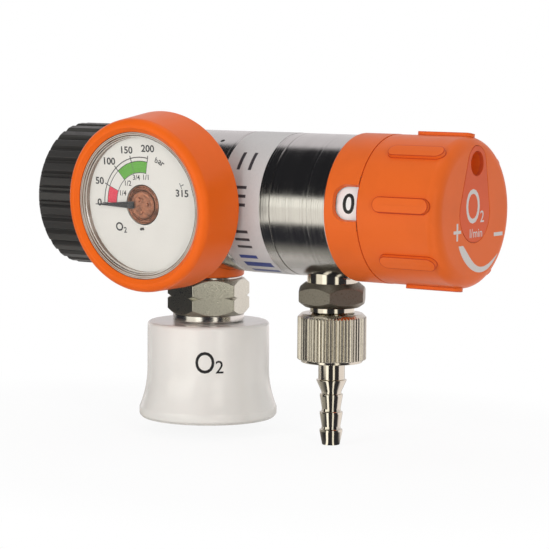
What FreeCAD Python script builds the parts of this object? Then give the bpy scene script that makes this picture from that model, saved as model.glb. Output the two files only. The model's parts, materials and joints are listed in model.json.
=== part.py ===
import FreeCAD, Part
import math
import os

# Oxygen cylinder pressure regulator with a flow selector, in millimetres.
# X runs along the cylindrical body, from the handwheel to the flow knob.
# The gauge faces -Y, both gas outlets point down, and +Z is up.
# The origin is the seat plane of the inlet, on the body's axis, where the cylinder valve's face stops.

V = FreeCAD.Vector
ORIGIN = V(0, 0, 0)
ALONG = V(1, 0, 0)
UP = V(0, 0, 1)

# Clearances
RUN = 0.05              # radial clearance of a shaft in its bore
SEAT = 0.05             # clearance of a round part fixed in its seat
MOVE = 0.3              # gap between faces that move past each other

BODY_R = 23.5           # the body's radius leads what sits on it, in it and round it

# Inlet handwheel
WHEEL_LENGTH = 30.0
MOUTH_DEPTH = 10.0      # from the handwheel's open face to the seat plane
WHEEL_STEP = 1.1        # the wheel's ribs stand out this far beyond the body
WHEEL_R = BODY_R + WHEEL_STEP
RIB_DEPTH = 1.7
WHEEL_ROOT_R = WHEEL_R - RIB_DEPTH
RIB_COUNT = 30
RIB_CREST = 0.52        # share of the pitch taken by a rib's crest
RIB_ROOT = 0.22         # share of the pitch taken by the root between two ribs
WHEEL_EDGE = 1.6
THREAD_R = 12.06        # minor radius of the G 3/4 union thread
THREAD_LEAD = 0.9
RELIEF_R = 12.9
CORE_R = 16.2
CORE_BACK = 4.0         # thickness of the nut's back wall
CORE_INSET = 1.0        # the grip covers the metal core by this much at each end
LIP_R = 11.0            # hole in the grip's back face, round the nipple

# Body, about the X axis
WHEEL_GAP = 1.0         # between the handwheel and the body
BODY_START = WHEEL_LENGTH - MOUTH_DEPTH + WHEEL_GAP
SEAM_X = 66.4           # joint between the inlet body and the flow housing
HOUSING_END = 108.6
BODY_EDGE = 0.7         # chamfer at the ends of both turned bodies

# Inlet nipple
NOSE_R = 7.0
SHOULDER_R = 12.4
SHOULDER_LENGTH = 7.8
NECK_R = 8.0
SHANK_R = 7.6
SHANK_LENGTH = 13.0
INLET_BORE_R = 2.0
NOSE_GROOVE_X = 2.2
NOSE_GROOVE_WIDTH = 2.4
NOSE_GROOVE_DEPTH = 1.5
FILTER_R = 4.2
FILTER_LENGTH = 6.0

# High-pressure chamber, nozzle and piston
HP_R = 3.0
SPRING_CHAMBER = 7.4    # depth of the spring chamber inside the inlet body
GUIDE_END = SEAM_X - SPRING_CHAMBER
GUIDE_LENGTH = 10.0     # from the nozzle's seat to the end of the stem's guide bore
NOZZLE_X = GUIDE_END - GUIDE_LENGTH
NOZZLE_R = 5.0
NOZZLE_LENGTH = 4.0
NOZZLE_NOSE_R = 2.4
NOZZLE_NOSE = 1.2
NOZZLE_BORE_R = 1.0
VALVE_LIFT = 1.0        # open gap between the nozzle and the piston's seat
STEM_R = 5.5
STEM_BORE_R = 2.0
PISTON_WALL = 6.0       # body metal round the piston's bore
PISTON_BORE_R = BODY_R - PISTON_WALL
PARTITION_LENGTH = 4.0
PARTITION_INSET = 18.6  # from the housing's end to the partition's face on the piston's side
PARTITION_X = HOUSING_END - PARTITION_INSET
PISTON_HEAD_LENGTH = 6.0
PISTON_ROOM = 5.0       # low-pressure space between the piston and the partition
PISTON_HEAD_X = PARTITION_X - PISTON_ROOM - PISTON_HEAD_LENGTH
RING_GROOVE_GAP = 1.8   # from the piston's spring side to the groove of its seal
RING_GROOVE_WIDTH = 2.4
RING_GROOVE_DEPTH = 1.8
PISTON_SEAL_R = 0.8     # section of the piston's seal
SEAT_RIM = 1.2          # the seat in the piston's stem is this much larger than its bore
PAD_LENGTH = 2.0
LINK_R = 1.0            # drilling from the piston's low-pressure side to the coupling
LINK_DEPTH = 3.1        # from the body's surface to that drilling
LINK_Z = LINK_DEPTH - BODY_R
LINK_INSET = 1.4
LINK_END = PARTITION_X - LINK_INSET
TRANSFER_MAJOR = 1.5    # seal round that drilling where the two bodies meet
TRANSFER_MINOR = 0.4
VENT_R = 0.8
VENT_INSET = 6.4        # from the seam
VENT_X = SEAM_X - VENT_INSET
VENT_ANGLE = 60.8       # degrees from -Y towards +Z
VENT_PLUG = 2.5         # length of the sintered plug in the vent
SPRING_WIRE = 2.4
SPRING_GAP = 3.9        # between the spring and the wall of the piston's bore
SPRING_MEAN_R = PISTON_BORE_R - SPRING_GAP - SPRING_WIRE / 2
SPRING_PITCH = 4.2

# Flow selector
SELECTOR_WALL = 8.0
SELECTOR_R = BODY_R - SELECTOR_WALL
PLATE_GAP = 0.6
PLATE_LENGTH = 2.0
PLATE_MARGIN = 1.1
PLATE_R = SELECTOR_R - PLATE_MARGIN
FEED_MARGIN = 5.4       # from the plate's edge to the circle of the orifices
FEED_RADIUS = PLATE_R - FEED_MARGIN
FEED_R = 1.5
STEP_COUNT = 12         # positions of the flow knob
ORIFICE_R = 0.8
SEAL_MAJOR = 2.5        # seal between the feed hole and the orifice plate
SEAL_MINOR = 0.55
SPINDLE_R = 3.5
SPINDLE_FLANGE = 1.5    # the flange on the spindle stands out this far
BONNET_FLANGE = 4.0
BONNET_FLANGE_X = HOUSING_END - BONNET_FLANGE
BONNET_LENGTH = 4.6
BONNET_X = BONNET_FLANGE_X - BONNET_LENGTH
BONNET_RIM = 3.9        # housing metal round the bonnet's flange
BONNET_FLANGE_R = BODY_R - BONNET_RIM
BOSS_STEP = 0.5
BOSS_R = SELECTOR_R + BOSS_STEP
BOSS_LENGTH = 9.4
BOSS_END = HOUSING_END + BOSS_LENGTH
BALL_R = 2.0
DETENT_INSET = 3.0      # from the boss's end to the detent
DETENT_X = BOSS_END - DETENT_INSET
DETENT_DEPTH = 8.0
DETENT_FLOOR = BOSS_R - DETENT_DEPTH
LEAN = 7.2              # degrees by which the window and the pads are turned up from -Y
FACE_LEAN = 4.2         # degrees by which the insert in the knob's face leans the same way

# Window ring, drum and flow knob
RING_STEP = 0.7         # the ring stands out from the body by this much
RING_R = BODY_R + RING_STEP
RING_WALL = 1.8
RING_BORE_R = RING_R - RING_WALL
RING_LENGTH = 12.3
RING_END = HOUSING_END + RING_LENGTH
SPIGOT_STEP = 1.0
SPIGOT_R = RING_BORE_R - SPIGOT_STEP
SPIGOT_LENGTH = 2.6
WINDOW_HALF = 5.15      # half of the window's height at the drum
WINDOW_SPREAD = 0.8     # its walls stand radially, so it is this much wider each way outside
WINDOW_REACH = 8.8      # from the ring's free edge to the window's closed end
WINDOW_CORNER = 4.0
DRUM_GAP = 0.5
DRUM_R = RING_BORE_R - DRUM_GAP
DRUM_WALL = 1.6
DRUM_START = HOUSING_END + SPIGOT_LENGTH + 0.6
KNOB_STEP = 0.1         # the knob's skirt is this much smaller than the ring
KNOB_R = RING_R - KNOB_STEP
KNOB_WALL = 2.6
KNOB_LENGTH = 28.9
KNOB_END = RING_END + MOVE + KNOB_LENGTH
SPINDLE_INSET = 7.1     # from the knob's face to the end of the spindle
SPINDLE_END = KNOB_END - SPINDLE_INSET
KNOB_ROUND = 4.2
KNOB_FACE = 3.2         # thickness of the end wall
KNOB_HUB_R = 7.0
KNOB_SKIRT = 5.0        # length over which the drum's plug sits inside the knob
PAD_COUNT = 8
GRIP_LENGTH = 20.2
GRIP_WIDTH = 4.8
GRIP_HEIGHT = 1.2
GRIP_END_GAP = 2.6      # from the knob's end face to the pads
INSERT_R = 9.3
INSERT_TIP_R = 5.6
INSERT_MARGIN = 8.4
INSERT_REACH = KNOB_R - INSERT_MARGIN   # between the centres of the insert's two rounds
INSERT_DEPTH = 1.4
KEY_HOLE_R = 3.95
KEY_HOLE_DEPTH = 5.0
SCREW_HEAD_R = 3.4
SCREW_HEAD = 1.8
SCREW_R = 1.5
SCREW_LENGTH = 12.0

# Gauge, about its own axis; stations are measured outward from the dial's face
GAUGE_X = 47.2
GAUGE_LEAN = 4.6        # degrees by which the gauge faces down
CASE_R = 26.2
CASE_WALL = 1.2
CASE_LEDGE = 1.4        # inner ledge that carries the dial
DIAL_MARGIN = 1.4
DIAL_R = CASE_R - DIAL_MARGIN
LENS_RIM = 2.7          # width of the lens's foot on the dial
DIAL_VIEW_R = DIAL_R - LENS_RIM
DIAL_SKIN = 0.8
DIAL_HOLE_R = 6.7
COVER_FRONT = 4.3
COVER_REAR = -13.4
COVER_STEP = 2.3        # the cover's front stands out from the case by this much
COVER_FRONT_R = CASE_R + COVER_STEP
COVER_FLARE = 1.1       # and its rear by this much more
COVER_REAR_R = COVER_FRONT_R + COVER_FLARE
COVER_ROUND = 2.6
COVER_WALL = 2.2
BEZEL_LIP = 1.9         # the bezel reaches in over the lens by this much
BEZEL_R = CASE_R - BEZEL_LIP
BEZEL_EDGE = 3.1
LENS_FRONT = 2.7
LENS_SKIN = 1.0
CASE_GAP = 2.2          # between the backs of the cover and the case
CASE_REAR = COVER_REAR + CASE_GAP
DIAL_Y = COVER_REAR - WHEEL_R
COIL_R = 6.3
COIL_RINGS = 3
COIL_SINK = 0.8         # depth of the grooves between the coil's rings
CARRIER_R = 4.9
CARRIER_TOP = 1.1
POINTER_MARGIN = 3.2
POINTER_TIP_R = DIAL_VIEW_R - POINTER_MARGIN
POINTER_SKIN = 0.35
POINTER_ROOT = 3.0      # the blade starts this far from the axis, under the carrier's cap
POINTER_HALF_ROOT = 1.35
POINTER_HALF_TIP = 0.25
STOP_PIN_R = 0.45
STOP_PIN_LENGTH = 1.0
STOP_PIN_OFFSET = 0.3   # to the left of the dial's middle
STOP_PIN_DROP = 7.9     # and below it
GAUGE_STEM_R = 5.0
GAUGE_STEM_BORE = 1.2
GAUGE_STEM_SINK = 9.0   # from the cover's rear to the stem's inner end
GAUGE_HEAD = 4.0        # the stem reaches this far into the case
GAUGE_HOLE = 3.6        # the cover's hole is this much larger than the stem
GAUGE_HEX_AF = 14.0

# Quick coupling, about a vertical axis under the inlet body
COUPLING_X = 46.1
COLLAR_R = 12.1
COLLAR_DROP = 2.5       # from the body's lowest line to the collar's foot
COLLAR_BOTTOM = -BODY_R - COLLAR_DROP
COLLAR_HEIGHT = 8.2
COLLAR_BORE_R = 8.6
WASHER_R = 11.0
WASHER_LENGTH = 0.8
HEX_TOP = COLLAR_BOTTOM - WASHER_LENGTH
HEX_HEIGHT = 12.1
HEX_BOTTOM = HEX_TOP - HEX_HEIGHT
HEX_AF = 24.5
HEX_CORNER_CUT = 0.55
HEX_GROOVE_DROP = 6.1   # from the hexagon's top to its turned groove
HEX_GROOVE_Z = HEX_TOP - HEX_GROOVE_DROP
HEX_GROOVE = 0.8
HEX_TURN = 14.0         # a corner's angle from -Y towards +X
SOCKET_SHANK_R = 7.0
SOCKET_PORT_DEPTH = 10.5
SOCKET_PORT_TOP = SOCKET_PORT_DEPTH - BODY_R
TUBE_R = 9.7
FLANGE_STEP = 2.5
FLANGE_R = TUBE_R + FLANGE_STEP
FLANGE_LENGTH = 2.4
FLANGE_BOTTOM = HEX_BOTTOM - FLANGE_LENGTH
TUBE_LENGTH = 26.7
TUBE_END = FLANGE_BOTTOM - TUBE_LENGTH
SOCKET_R = 6.6
SOCKET_DEPTH = 13.0
SOCKET_TOP = TUBE_END + SOCKET_DEPTH
SEAL_GROOVE_R = 8.0
SEAL_GROOVE_LENGTH = 2.0
SEAL_GROOVE_TOP = SOCKET_TOP + SEAL_GROOVE_LENGTH
POPPET_CHAMBER_R = 5.4
POPPET_CHAMBER_GAP = 5.6    # from the hexagon's foot to the chamber's top
POPPET_CHAMBER_TOP = HEX_BOTTOM - POPPET_CHAMBER_GAP
POPPET_SEAT_LENGTH = 1.5
POPPET_SEAT_Z = SEAL_GROOVE_TOP + POPPET_SEAT_LENGTH
POPPET_HEAD = 1.6
POPPET_HOLE_R = 3.6
LOCK_BALL_R = 1.5
LOCK_BALL_RISE = 4.0    # from the tube's end to the balls
LOCK_BALL_Z = TUBE_END + LOCK_BALL_RISE
LOCK_BALLS = 3
SPRING_ROOM = 2.2       # between the tube and the sleeve's hub
HUB_BORE_R = TUBE_R + SPRING_ROOM
HUB_WALL = 2.1
HUB_R = HUB_BORE_R + HUB_WALL
SLEEVE_TOP = FLANGE_BOTTOM - MOVE
SLEEVE_STEP = 6.8       # the sleeve's straight part stands out from its hub by this much
SLEEVE_R = HUB_R + SLEEVE_STEP
SLEEVE_ROUND = 1.2
SLEEVE_LENGTH = 32.8
SLEEVE_BOTTOM = SLEEVE_TOP - SLEEVE_LENGTH
SLEEVE_STRAIGHT = 15.9
SLEEVE_STRAIGHT_END = SLEEVE_TOP - SLEEVE_STRAIGHT
SLEEVE_FLARE = 2.7      # the bell's widest line stands out this far from the straight part
SLEEVE_FLARE_R = SLEEVE_R + SLEEVE_FLARE
SLEEVE_FLARE_RISE = 3.4     # from the sleeve's mouth to that line
SLEEVE_FLARE_Z = SLEEVE_BOTTOM + SLEEVE_FLARE_RISE
SLEEVE_EDGE = 1.1
SLEEVE_WALL = 2.2
SLEEVE_TOP_WALL = 3.2
LOCK_RING_RISE = 2.2    # the locking ring reaches this far above the balls
LOCK_RING_TOP = LOCK_BALL_Z + LOCK_RING_RISE
LOCK_RING_LENGTH = 4.4
SPRING_SPACE = 14.6     # from the sleeve's top to the clip under its spring
CLIP_TOP = SLEEVE_TOP - SPRING_SPACE
CLIP_LENGTH = 1.2
CLIP_GROOVE = 0.7
CLIP_STEP = 1.7         # the clip stands out from the tube by this much
CLIP_R = TUBE_R + CLIP_STEP
SLEEVE_WIRE = 1.1
SLEEVE_TURNS = 4.0

# Hose outlet, about a vertical axis under the flow housing
OUTLET_INSET = 12.0     # from the housing's end to the outlet's axis
OUTLET_X = HOUSING_END - OUTLET_INSET
OUTLET_SHANK_R = 5.0
OUTLET_PORT_DEPTH = 6.5
OUTLET_PORT_TOP = OUTLET_PORT_DEPTH - BODY_R
OUTLET_HEX_AF = 21.2
OUTLET_HEX_DROP = 1.8   # from the body's lowest line to the hexagon
OUTLET_HEX_TOP = -BODY_R - OUTLET_HEX_DROP
OUTLET_CONE = 2.7
OUTLET_FLAT_TOP = OUTLET_HEX_TOP - OUTLET_CONE
OUTLET_FLAT = 3.0
OUTLET_FLAT_BOTTOM = OUTLET_FLAT_TOP - OUTLET_FLAT
OUTLET_UNDERCONE = 2.3
OUTLET_HEX_BOTTOM = OUTLET_FLAT_BOTTOM - OUTLET_UNDERCONE
OUTLET_HEX_TURN = 29.0
OUTLET_NECK_R = 8.4
OUTLET_NECK_SINK = 1.6
OUTLET_THREAD_R = 7.4
OUTLET_THREAD_LENGTH = 10.9
OUTLET_THREAD_END = OUTLET_HEX_BOTTOM - OUTLET_THREAD_LENGTH
GAS_R = 2.0
NUT_GAP = 2.1           # between the outlet's hexagon and the nut
NUT_TOP = OUTLET_HEX_BOTTOM - NUT_GAP
NUT_R = 11.4
NUT_LENGTH = 15.3
NUT_KNURL_END = NUT_TOP - NUT_LENGTH
NUT_FOOT_STEP = 1.2
NUT_FOOT_R = NUT_R - NUT_FOOT_STEP
NUT_FOOT = 1.0
NUT_BOTTOM = NUT_KNURL_END - NUT_FOOT
NUT_EDGE = 1.3
KNURL_COUNT = 44
KNURL_DEPTH = 0.55
GASKET = 1.0
TAIL_FLANGE_GAP = 0.6
TAIL_FLANGE_R = OUTLET_THREAD_R - TAIL_FLANGE_GAP
TAIL_FLANGE = 3.2
TAIL_R = 4.4
TAIL_STEM = 5.8         # from the nut's foot to the end of the stem
TAIL_STEM_END = NUT_BOTTOM - TAIL_STEM
TAIL_TAPER = 4.7
FIRST_BARB_Z = TAIL_STEM_END - TAIL_TAPER
TAIL_ROOT_R = 3.1
BARB_R = 3.8
BARB_PITCH = 5.9
BARB_COUNT = 3
TAIL_TIP_RISE = 0.7     # the last barb is this much shorter than the others
TAIL_TIP = FIRST_BARB_Z - BARB_PITCH * BARB_COUNT + TAIL_TIP_RISE
TAIL_TIP_R = 2.9
TAIL_BORE_R = 2.0

# Label band round the flow housing, and the thin turned groove beside it
LABEL_GAP = 0.5         # between the seam and the label
LABEL_X = SEAM_X + LABEL_GAP
LABEL_MARGIN = 4.9      # between the label and the outlet's neck
LABEL_WIDTH = OUTLET_X - OUTLET_NECK_R - LABEL_MARGIN - LABEL_X
LABEL_SKIN = 0.12
GROOVE_GAP = 3.9
GROOVE_X = LABEL_X + LABEL_WIDTH + GROOVE_GAP
GROOVE_WIDTH = 0.5


def outline_face(points):
    """A closed XZ face from (station, radius) points; four numbers are an arc's middle and end."""
    edges = []
    start = V(points[0][1], 0, points[0][0])
    first = start
    for point in points[1:] + [points[0]]:
        end = V(point[-1], 0, point[-2])
        if len(point) == 4:
            middle = V(point[1], 0, point[0])
            edges.append(Part.Arc(start, middle, end).toShape())
        elif (end - start).Length > 1e-6:
            edges.append(Part.makeLine(start, end))
        start = end
    if (start - first).Length > 1e-6:
        edges.append(Part.makeLine(start, first))
    return Part.Face(Part.Wire(edges))


def moved(shape, placement):
    """A copy of the shape with a placement put in front of its own."""
    copy = shape.copy()
    copy.Placement = placement.multiply(copy.Placement)
    return copy


def turned(points, base=ORIGIN, axis=ALONG):
    """A solid turned from an outline of (station, radius) points about the axis through base."""
    solid = outline_face(points).revolve(ORIGIN, UP, 360)
    return moved(solid, FreeCAD.Placement(base, FreeCAD.Rotation(UP, axis)))


def rod(radius, start, end, base=ORIGIN, axis=ALONG):
    """A plain cylinder between two stations on an axis."""
    solid = Part.makeCylinder(radius, end - start, V(0, 0, start), UP)
    return moved(solid, FreeCAD.Placement(base, FreeCAD.Rotation(UP, axis)))


def tube(outer, inner, start, end, base=ORIGIN, axis=ALONG):
    """A plain tube between two stations on an axis."""
    return rod(outer, start, end, base, axis).cut(rod(inner, start, end, base, axis))


def round_corner(start, end, centre):
    """The arc item of an outline that runs from start to end about centre."""
    radius = math.dist(start, centre)
    middle = [(a + b) / 2 - c for a, b, c in zip(start, end, centre)]
    reach = math.hypot(*middle)
    return (centre[0] + middle[0] / reach * radius, centre[1] + middle[1] / reach * radius, end[0], end[1])


def prism(points, start, end):
    """A straight prism along +Z over a closed polygon of (x, y) points."""
    wire = Part.makePolygon([V(x, y, start) for x, y in points] + [V(points[0][0], points[0][1], start)])
    return Part.Face(wire).extrude(V(0, 0, end - start))


def hexagon(across_flats, turn, start, end, base):
    """A hexagonal prism on a vertical axis, one corner turned from -Y towards +X."""
    corner = across_flats / math.sqrt(3)
    angles = [math.radians(turn - 90 + 60 * step) for step in range(6)]
    solid = prism([(corner * math.cos(a), corner * math.sin(a)) for a in angles], start, end)
    solid.translate(base)
    return solid


def coil(mean_r, wire, turns, start, end):
    """A helical spring of square wire along +Z between two stations."""
    height = end - start - wire
    helix = Part.makeHelix(height / turns, height, mean_r)
    half = wire / 2
    corners = [V(mean_r + x, 0, z) for x, z in ((-half, -half), (half, -half), (half, half), (-half, half))]
    profile = Part.makePolygon(corners + [corners[0]])
    solid = Part.Wire(helix.Edges).makePipeShell([profile], True, True)
    solid.translate(V(0, 0, start + half))
    return solid


def round_about_x(angle):
    """Unit vector at an angle from -Y towards +Z, square to the body's axis."""
    return V(0, -math.cos(math.radians(angle)), math.sin(math.radians(angle)))


def slot_prism(length, width, height):
    """An obround lying along X with its middle at the origin, raised along +Z from zero."""
    half = length / 2 - width / 2
    r = width / 2
    edges = [
        Part.makeLine(V(-half, -r, 0), V(half, -r, 0)),
        Part.Arc(V(half, -r, 0), V(half + r, 0, 0), V(half, r, 0)).toShape(),
        Part.makeLine(V(half, r, 0), V(-half, r, 0)),
        Part.Arc(V(-half, r, 0), V(-half - r, 0, 0), V(-half, -r, 0)).toShape(),
    ]
    return Part.Face(Part.Wire(edges)).extrude(V(0, 0, height))


def facing(shape, x, angle):
    """Turn a shape modelled on +Z so that it points outward at an angle round the X axis."""
    turn = FreeCAD.Rotation(ALONG, 90 - angle)
    return moved(shape, FreeCAD.Placement(V(x, 0, 0), turn))


# Inlet

def handwheel_grip():
    start = -MOUTH_DEPTH
    end = start + WHEEL_LENGTH
    pitch = 2 * math.pi / RIB_COUNT
    edges = []
    crest_half = pitch * RIB_CREST / 2
    root_half = pitch * RIB_ROOT / 2

    def at(radius, angle):
        return V(radius * math.cos(angle), radius * math.sin(angle), start)

    for rib in range(RIB_COUNT):
        middle = rib * pitch
        rise = at(WHEEL_R, middle - crest_half)
        fall = at(WHEEL_R, middle + crest_half)
        edges.append(Part.Arc(rise, at(WHEEL_R + 0.12, middle), fall).toShape())
        root = at(WHEEL_ROOT_R, middle + pitch / 2 - root_half)
        edges.append(Part.makeLine(fall, root))
        root_end = at(WHEEL_ROOT_R, middle + pitch / 2 + root_half)
        edges.append(Part.makeLine(root, root_end))
        edges.append(Part.makeLine(root_end, at(WHEEL_R, middle + pitch - crest_half)))
    ribs = Part.Face(Part.Wire(edges)).extrude(V(0, 0, WHEEL_LENGTH))
    ribs = moved(ribs, FreeCAD.Placement(ORIGIN, FreeCAD.Rotation(UP, ALONG)))
    limit = WHEEL_R + 1
    shape = turned([
        (start, CORE_R + SEAT),
        (start, limit - 1 - WHEEL_EDGE),
        (start + WHEEL_EDGE + 1, limit),
        (end - WHEEL_EDGE - 1, limit),
        (end, limit - 1 - WHEEL_EDGE),
        (end, CORE_R + SEAT),
    ])
    closed = turned([
        (start, THREAD_R + THREAD_LEAD),
        (start, CORE_R + SEAT),
        (start + CORE_INSET, CORE_R + SEAT),
        (start + CORE_INSET, THREAD_R + THREAD_LEAD),
    ])
    back = tube(CORE_R + SEAT, LIP_R, end - CORE_INSET, end)
    return ribs.common(shape).fuse([closed, back]).removeSplitter()


def handwheel_core():
    start = -MOUTH_DEPTH + CORE_INSET
    end = -MOUTH_DEPTH + WHEEL_LENGTH - CORE_INSET
    back = end - CORE_BACK
    return turned([
        (start, THREAD_R + THREAD_LEAD),
        (start, CORE_R),
        (end, CORE_R),
        (end, NECK_R + RUN),
        (back, NECK_R + RUN),
        (back, RELIEF_R),
        (0, RELIEF_R),
        (0, THREAD_R),
        (start + THREAD_LEAD, THREAD_R),
    ])


def shoulder_end():
    """Station of the nipple's shoulder that holds the union nut's back wall."""
    return -MOUTH_DEPTH + WHEEL_LENGTH - CORE_INSET - CORE_BACK - MOVE


def inlet_nipple():
    groove_end = NOSE_GROOVE_X + NOSE_GROOVE_WIDTH
    tip = BODY_START + SHANK_LENGTH
    shoulder = shoulder_end() - SHOULDER_LENGTH
    return turned([
        (0, INLET_BORE_R),
        (0, NOSE_R - 0.6),
        (0.6, NOSE_R),
        (NOSE_GROOVE_X, NOSE_R),
        (NOSE_GROOVE_X, NOSE_R - NOSE_GROOVE_DEPTH),
        (groove_end, NOSE_R - NOSE_GROOVE_DEPTH),
        (groove_end, NOSE_R),
        (shoulder, NOSE_R),
        (shoulder, SHOULDER_R),
        (shoulder_end(), SHOULDER_R),
        (shoulder_end(), NECK_R),
        (BODY_START, NECK_R),
        (BODY_START, SHANK_R),
        (tip, SHANK_R),
        (tip, FILTER_R),
        (tip - FILTER_LENGTH, FILTER_R),
        (tip - FILTER_LENGTH, INLET_BORE_R),
    ])


def inlet_o_ring():
    minor = NOSE_GROOVE_DEPTH / 2
    return Part.makeTorus(NOSE_R - minor, minor, V(NOSE_GROOVE_X + NOSE_GROOVE_WIDTH / 2, 0, 0), ALONG)


def inlet_filter():
    tip = BODY_START + SHANK_LENGTH
    return rod(FILTER_R - SEAT, tip - FILTER_LENGTH, tip - 0.2)


# Body, piston and housing

def gauge_axis():
    """Unit vector out of the gauge's face."""
    lean = math.radians(GAUGE_LEAN)
    return V(0, -math.cos(lean), -math.sin(lean))


def gauge_face():
    return V(GAUGE_X, DIAL_Y, 0)


def gauge_root():
    """Station on the gauge's axis of the stem's inner end, inside the body."""
    return COVER_REAR - GAUGE_STEM_SINK


def inlet_body():
    shape = turned([
        (BODY_START, SHANK_R),
        (BODY_START, BODY_R - BODY_EDGE),
        (BODY_START + BODY_EDGE, BODY_R),
        (SEAM_X - BODY_EDGE, BODY_R),
        (SEAM_X, BODY_R - BODY_EDGE),
        (SEAM_X, PISTON_BORE_R),
        (GUIDE_END, PISTON_BORE_R),
        (GUIDE_END, STEM_R + RUN),
        (NOZZLE_X + NOZZLE_LENGTH, STEM_R + RUN),
        (NOZZLE_X + NOZZLE_LENGTH, NOZZLE_R),
        (NOZZLE_X, NOZZLE_R),
        (NOZZLE_X, HP_R),
        (BODY_START + SHANK_LENGTH, HP_R),
        (BODY_START + SHANK_LENGTH, SHANK_R),
    ])
    gauge_port = rod(GAUGE_STEM_R, gauge_root(), 0, gauge_face(), gauge_axis())
    gauge_drill = rod(GAUGE_STEM_BORE, DIAL_Y, gauge_root() + 1, gauge_face(), gauge_axis())
    low = V(COUPLING_X, 0, 0)
    socket_port = rod(SOCKET_SHANK_R, -BODY_R, SOCKET_PORT_TOP, low, UP)
    link = rod(LINK_R, COUPLING_X, SEAM_X + 1, V(0, 0, LINK_Z), ALONG)
    vent = rod(VENT_R, 0, BODY_R, V(VENT_X, 0, 0), vent_axis())
    return shape.cut([gauge_port, gauge_drill, socket_port, link, vent])


def vent_axis():
    return round_about_x(VENT_ANGLE)


def vent_filter():
    end = BODY_R - 0.2
    return rod(VENT_R - 0.02, end - VENT_PLUG, end, V(VENT_X, 0, 0), vent_axis())


def valve_nozzle():
    end = NOZZLE_X + NOZZLE_LENGTH
    return turned([
        (NOZZLE_X, NOZZLE_BORE_R),
        (NOZZLE_X, NOZZLE_R - SEAT),
        (end, NOZZLE_R - SEAT),
        (end, NOZZLE_NOSE_R),
        (end + NOZZLE_NOSE, NOZZLE_BORE_R + 0.4),
        (end + NOZZLE_NOSE, NOZZLE_BORE_R),
    ])


def stem_start():
    return NOZZLE_X + NOZZLE_LENGTH + NOZZLE_NOSE + VALVE_LIFT


def piston():
    start = stem_start()
    head_end = PISTON_HEAD_X + PISTON_HEAD_LENGTH
    groove = PISTON_HEAD_X + RING_GROOVE_GAP
    groove_end = groove + RING_GROOVE_WIDTH
    shape = turned([
        (start, STEM_BORE_R + SEAT_RIM),
        (start, STEM_R),
        (PISTON_HEAD_X, STEM_R),
        (PISTON_HEAD_X, PISTON_BORE_R - RUN),
        (groove, PISTON_BORE_R - RUN),
        (groove, PISTON_BORE_R - RING_GROOVE_DEPTH),
        (groove_end, PISTON_BORE_R - RING_GROOVE_DEPTH),
        (groove_end, PISTON_BORE_R - RUN),
        (head_end, PISTON_BORE_R - RUN),
        (head_end, STEM_BORE_R),
        (start + PAD_LENGTH, STEM_BORE_R),
        (start + PAD_LENGTH, STEM_BORE_R + SEAT_RIM),
    ])
    cross = rod(1.0, -STEM_R - 1, STEM_R + 1, V(start + PAD_LENGTH + 1.6, 0, 0), UP)
    return shape.cut(cross)


def piston_seat():
    return rod(STEM_BORE_R + SEAT_RIM - SEAT, stem_start(), stem_start() + PAD_LENGTH)


def piston_o_ring():
    middle = PISTON_HEAD_X + RING_GROOVE_GAP + RING_GROOVE_WIDTH / 2
    major = PISTON_BORE_R - RING_GROOVE_DEPTH + PISTON_SEAL_R + RUN
    return Part.makeTorus(major, PISTON_SEAL_R, V(middle, 0, 0), ALONG)


def main_spring():
    start = GUIDE_END + 0.05
    end = PISTON_HEAD_X - 0.15
    turns = (end - start - SPRING_WIRE) / SPRING_PITCH
    spring = coil(SPRING_MEAN_R, SPRING_WIRE, turns, start, end)
    return moved(spring, FreeCAD.Placement(ORIGIN, FreeCAD.Rotation(UP, ALONG)))


def flow_housing():
    end = HOUSING_END
    groove = GROOVE_X - GROOVE_WIDTH / 2
    partition_end = PARTITION_X + PARTITION_LENGTH
    shape = turned([
        (SEAM_X, PISTON_BORE_R),
        (SEAM_X, BODY_R - BODY_EDGE),
        (SEAM_X + BODY_EDGE, BODY_R),
        (groove, BODY_R),
        (groove + GROOVE_WIDTH / 2, BODY_R - GROOVE_WIDTH),
        (groove + GROOVE_WIDTH, BODY_R),
        (end, BODY_R),
        (end, SPIGOT_R),
        (end + SPIGOT_LENGTH, SPIGOT_R),
        (end + SPIGOT_LENGTH, BONNET_FLANGE_R + SEAT),
        (BONNET_FLANGE_X, BONNET_FLANGE_R + SEAT),
        (BONNET_FLANGE_X, SELECTOR_R),
        (partition_end, SELECTOR_R),
        (partition_end, 0),
        (PARTITION_X, 0),
        (PARTITION_X, PISTON_BORE_R),
    ])
    feed = rod(FEED_R, PARTITION_X - 1, partition_end + 1, feed_centre(), ALONG)
    pocket_r = SEAL_MAJOR + SEAL_MINOR + 0.1
    pocket = rod(pocket_r, partition_end - SEAL_MINOR * 2, partition_end + 1, feed_centre(), ALONG)
    port = rod(OUTLET_SHANK_R, -BODY_R - 1, OUTLET_PORT_TOP, V(OUTLET_X, 0, 0), UP)
    drill = rod(GAS_R, OUTLET_PORT_TOP - 1, -SELECTOR_R + 1.5, V(OUTLET_X, 0, 0), UP)
    link = rod(LINK_R, SEAM_X - 1, LINK_END, V(0, 0, LINK_Z), ALONG)
    cross = rod(LINK_R, LINK_Z - LINK_R, -PISTON_BORE_R + 1.5, V(LINK_END - LINK_R, 0, 0), UP)
    seal_r = TRANSFER_MAJOR + TRANSFER_MINOR + 0.05
    seal = rod(seal_r, SEAM_X - 1, SEAM_X + 2 * TRANSFER_MINOR, V(0, 0, LINK_Z), ALONG)
    return shape.cut([feed, pocket, port, drill, link, cross, seal])


def feed_centre():
    """Centre of the feed hole in the partition, on the orifices' circle."""
    direction = round_about_x(LEAN)
    return V(0, direction.y * FEED_RADIUS, direction.z * FEED_RADIUS)


def orifice_seal():
    x = PARTITION_X + PARTITION_LENGTH - SEAL_MINOR
    return Part.makeTorus(SEAL_MAJOR, SEAL_MINOR, feed_centre() + V(x, 0, 0), ALONG)


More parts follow.
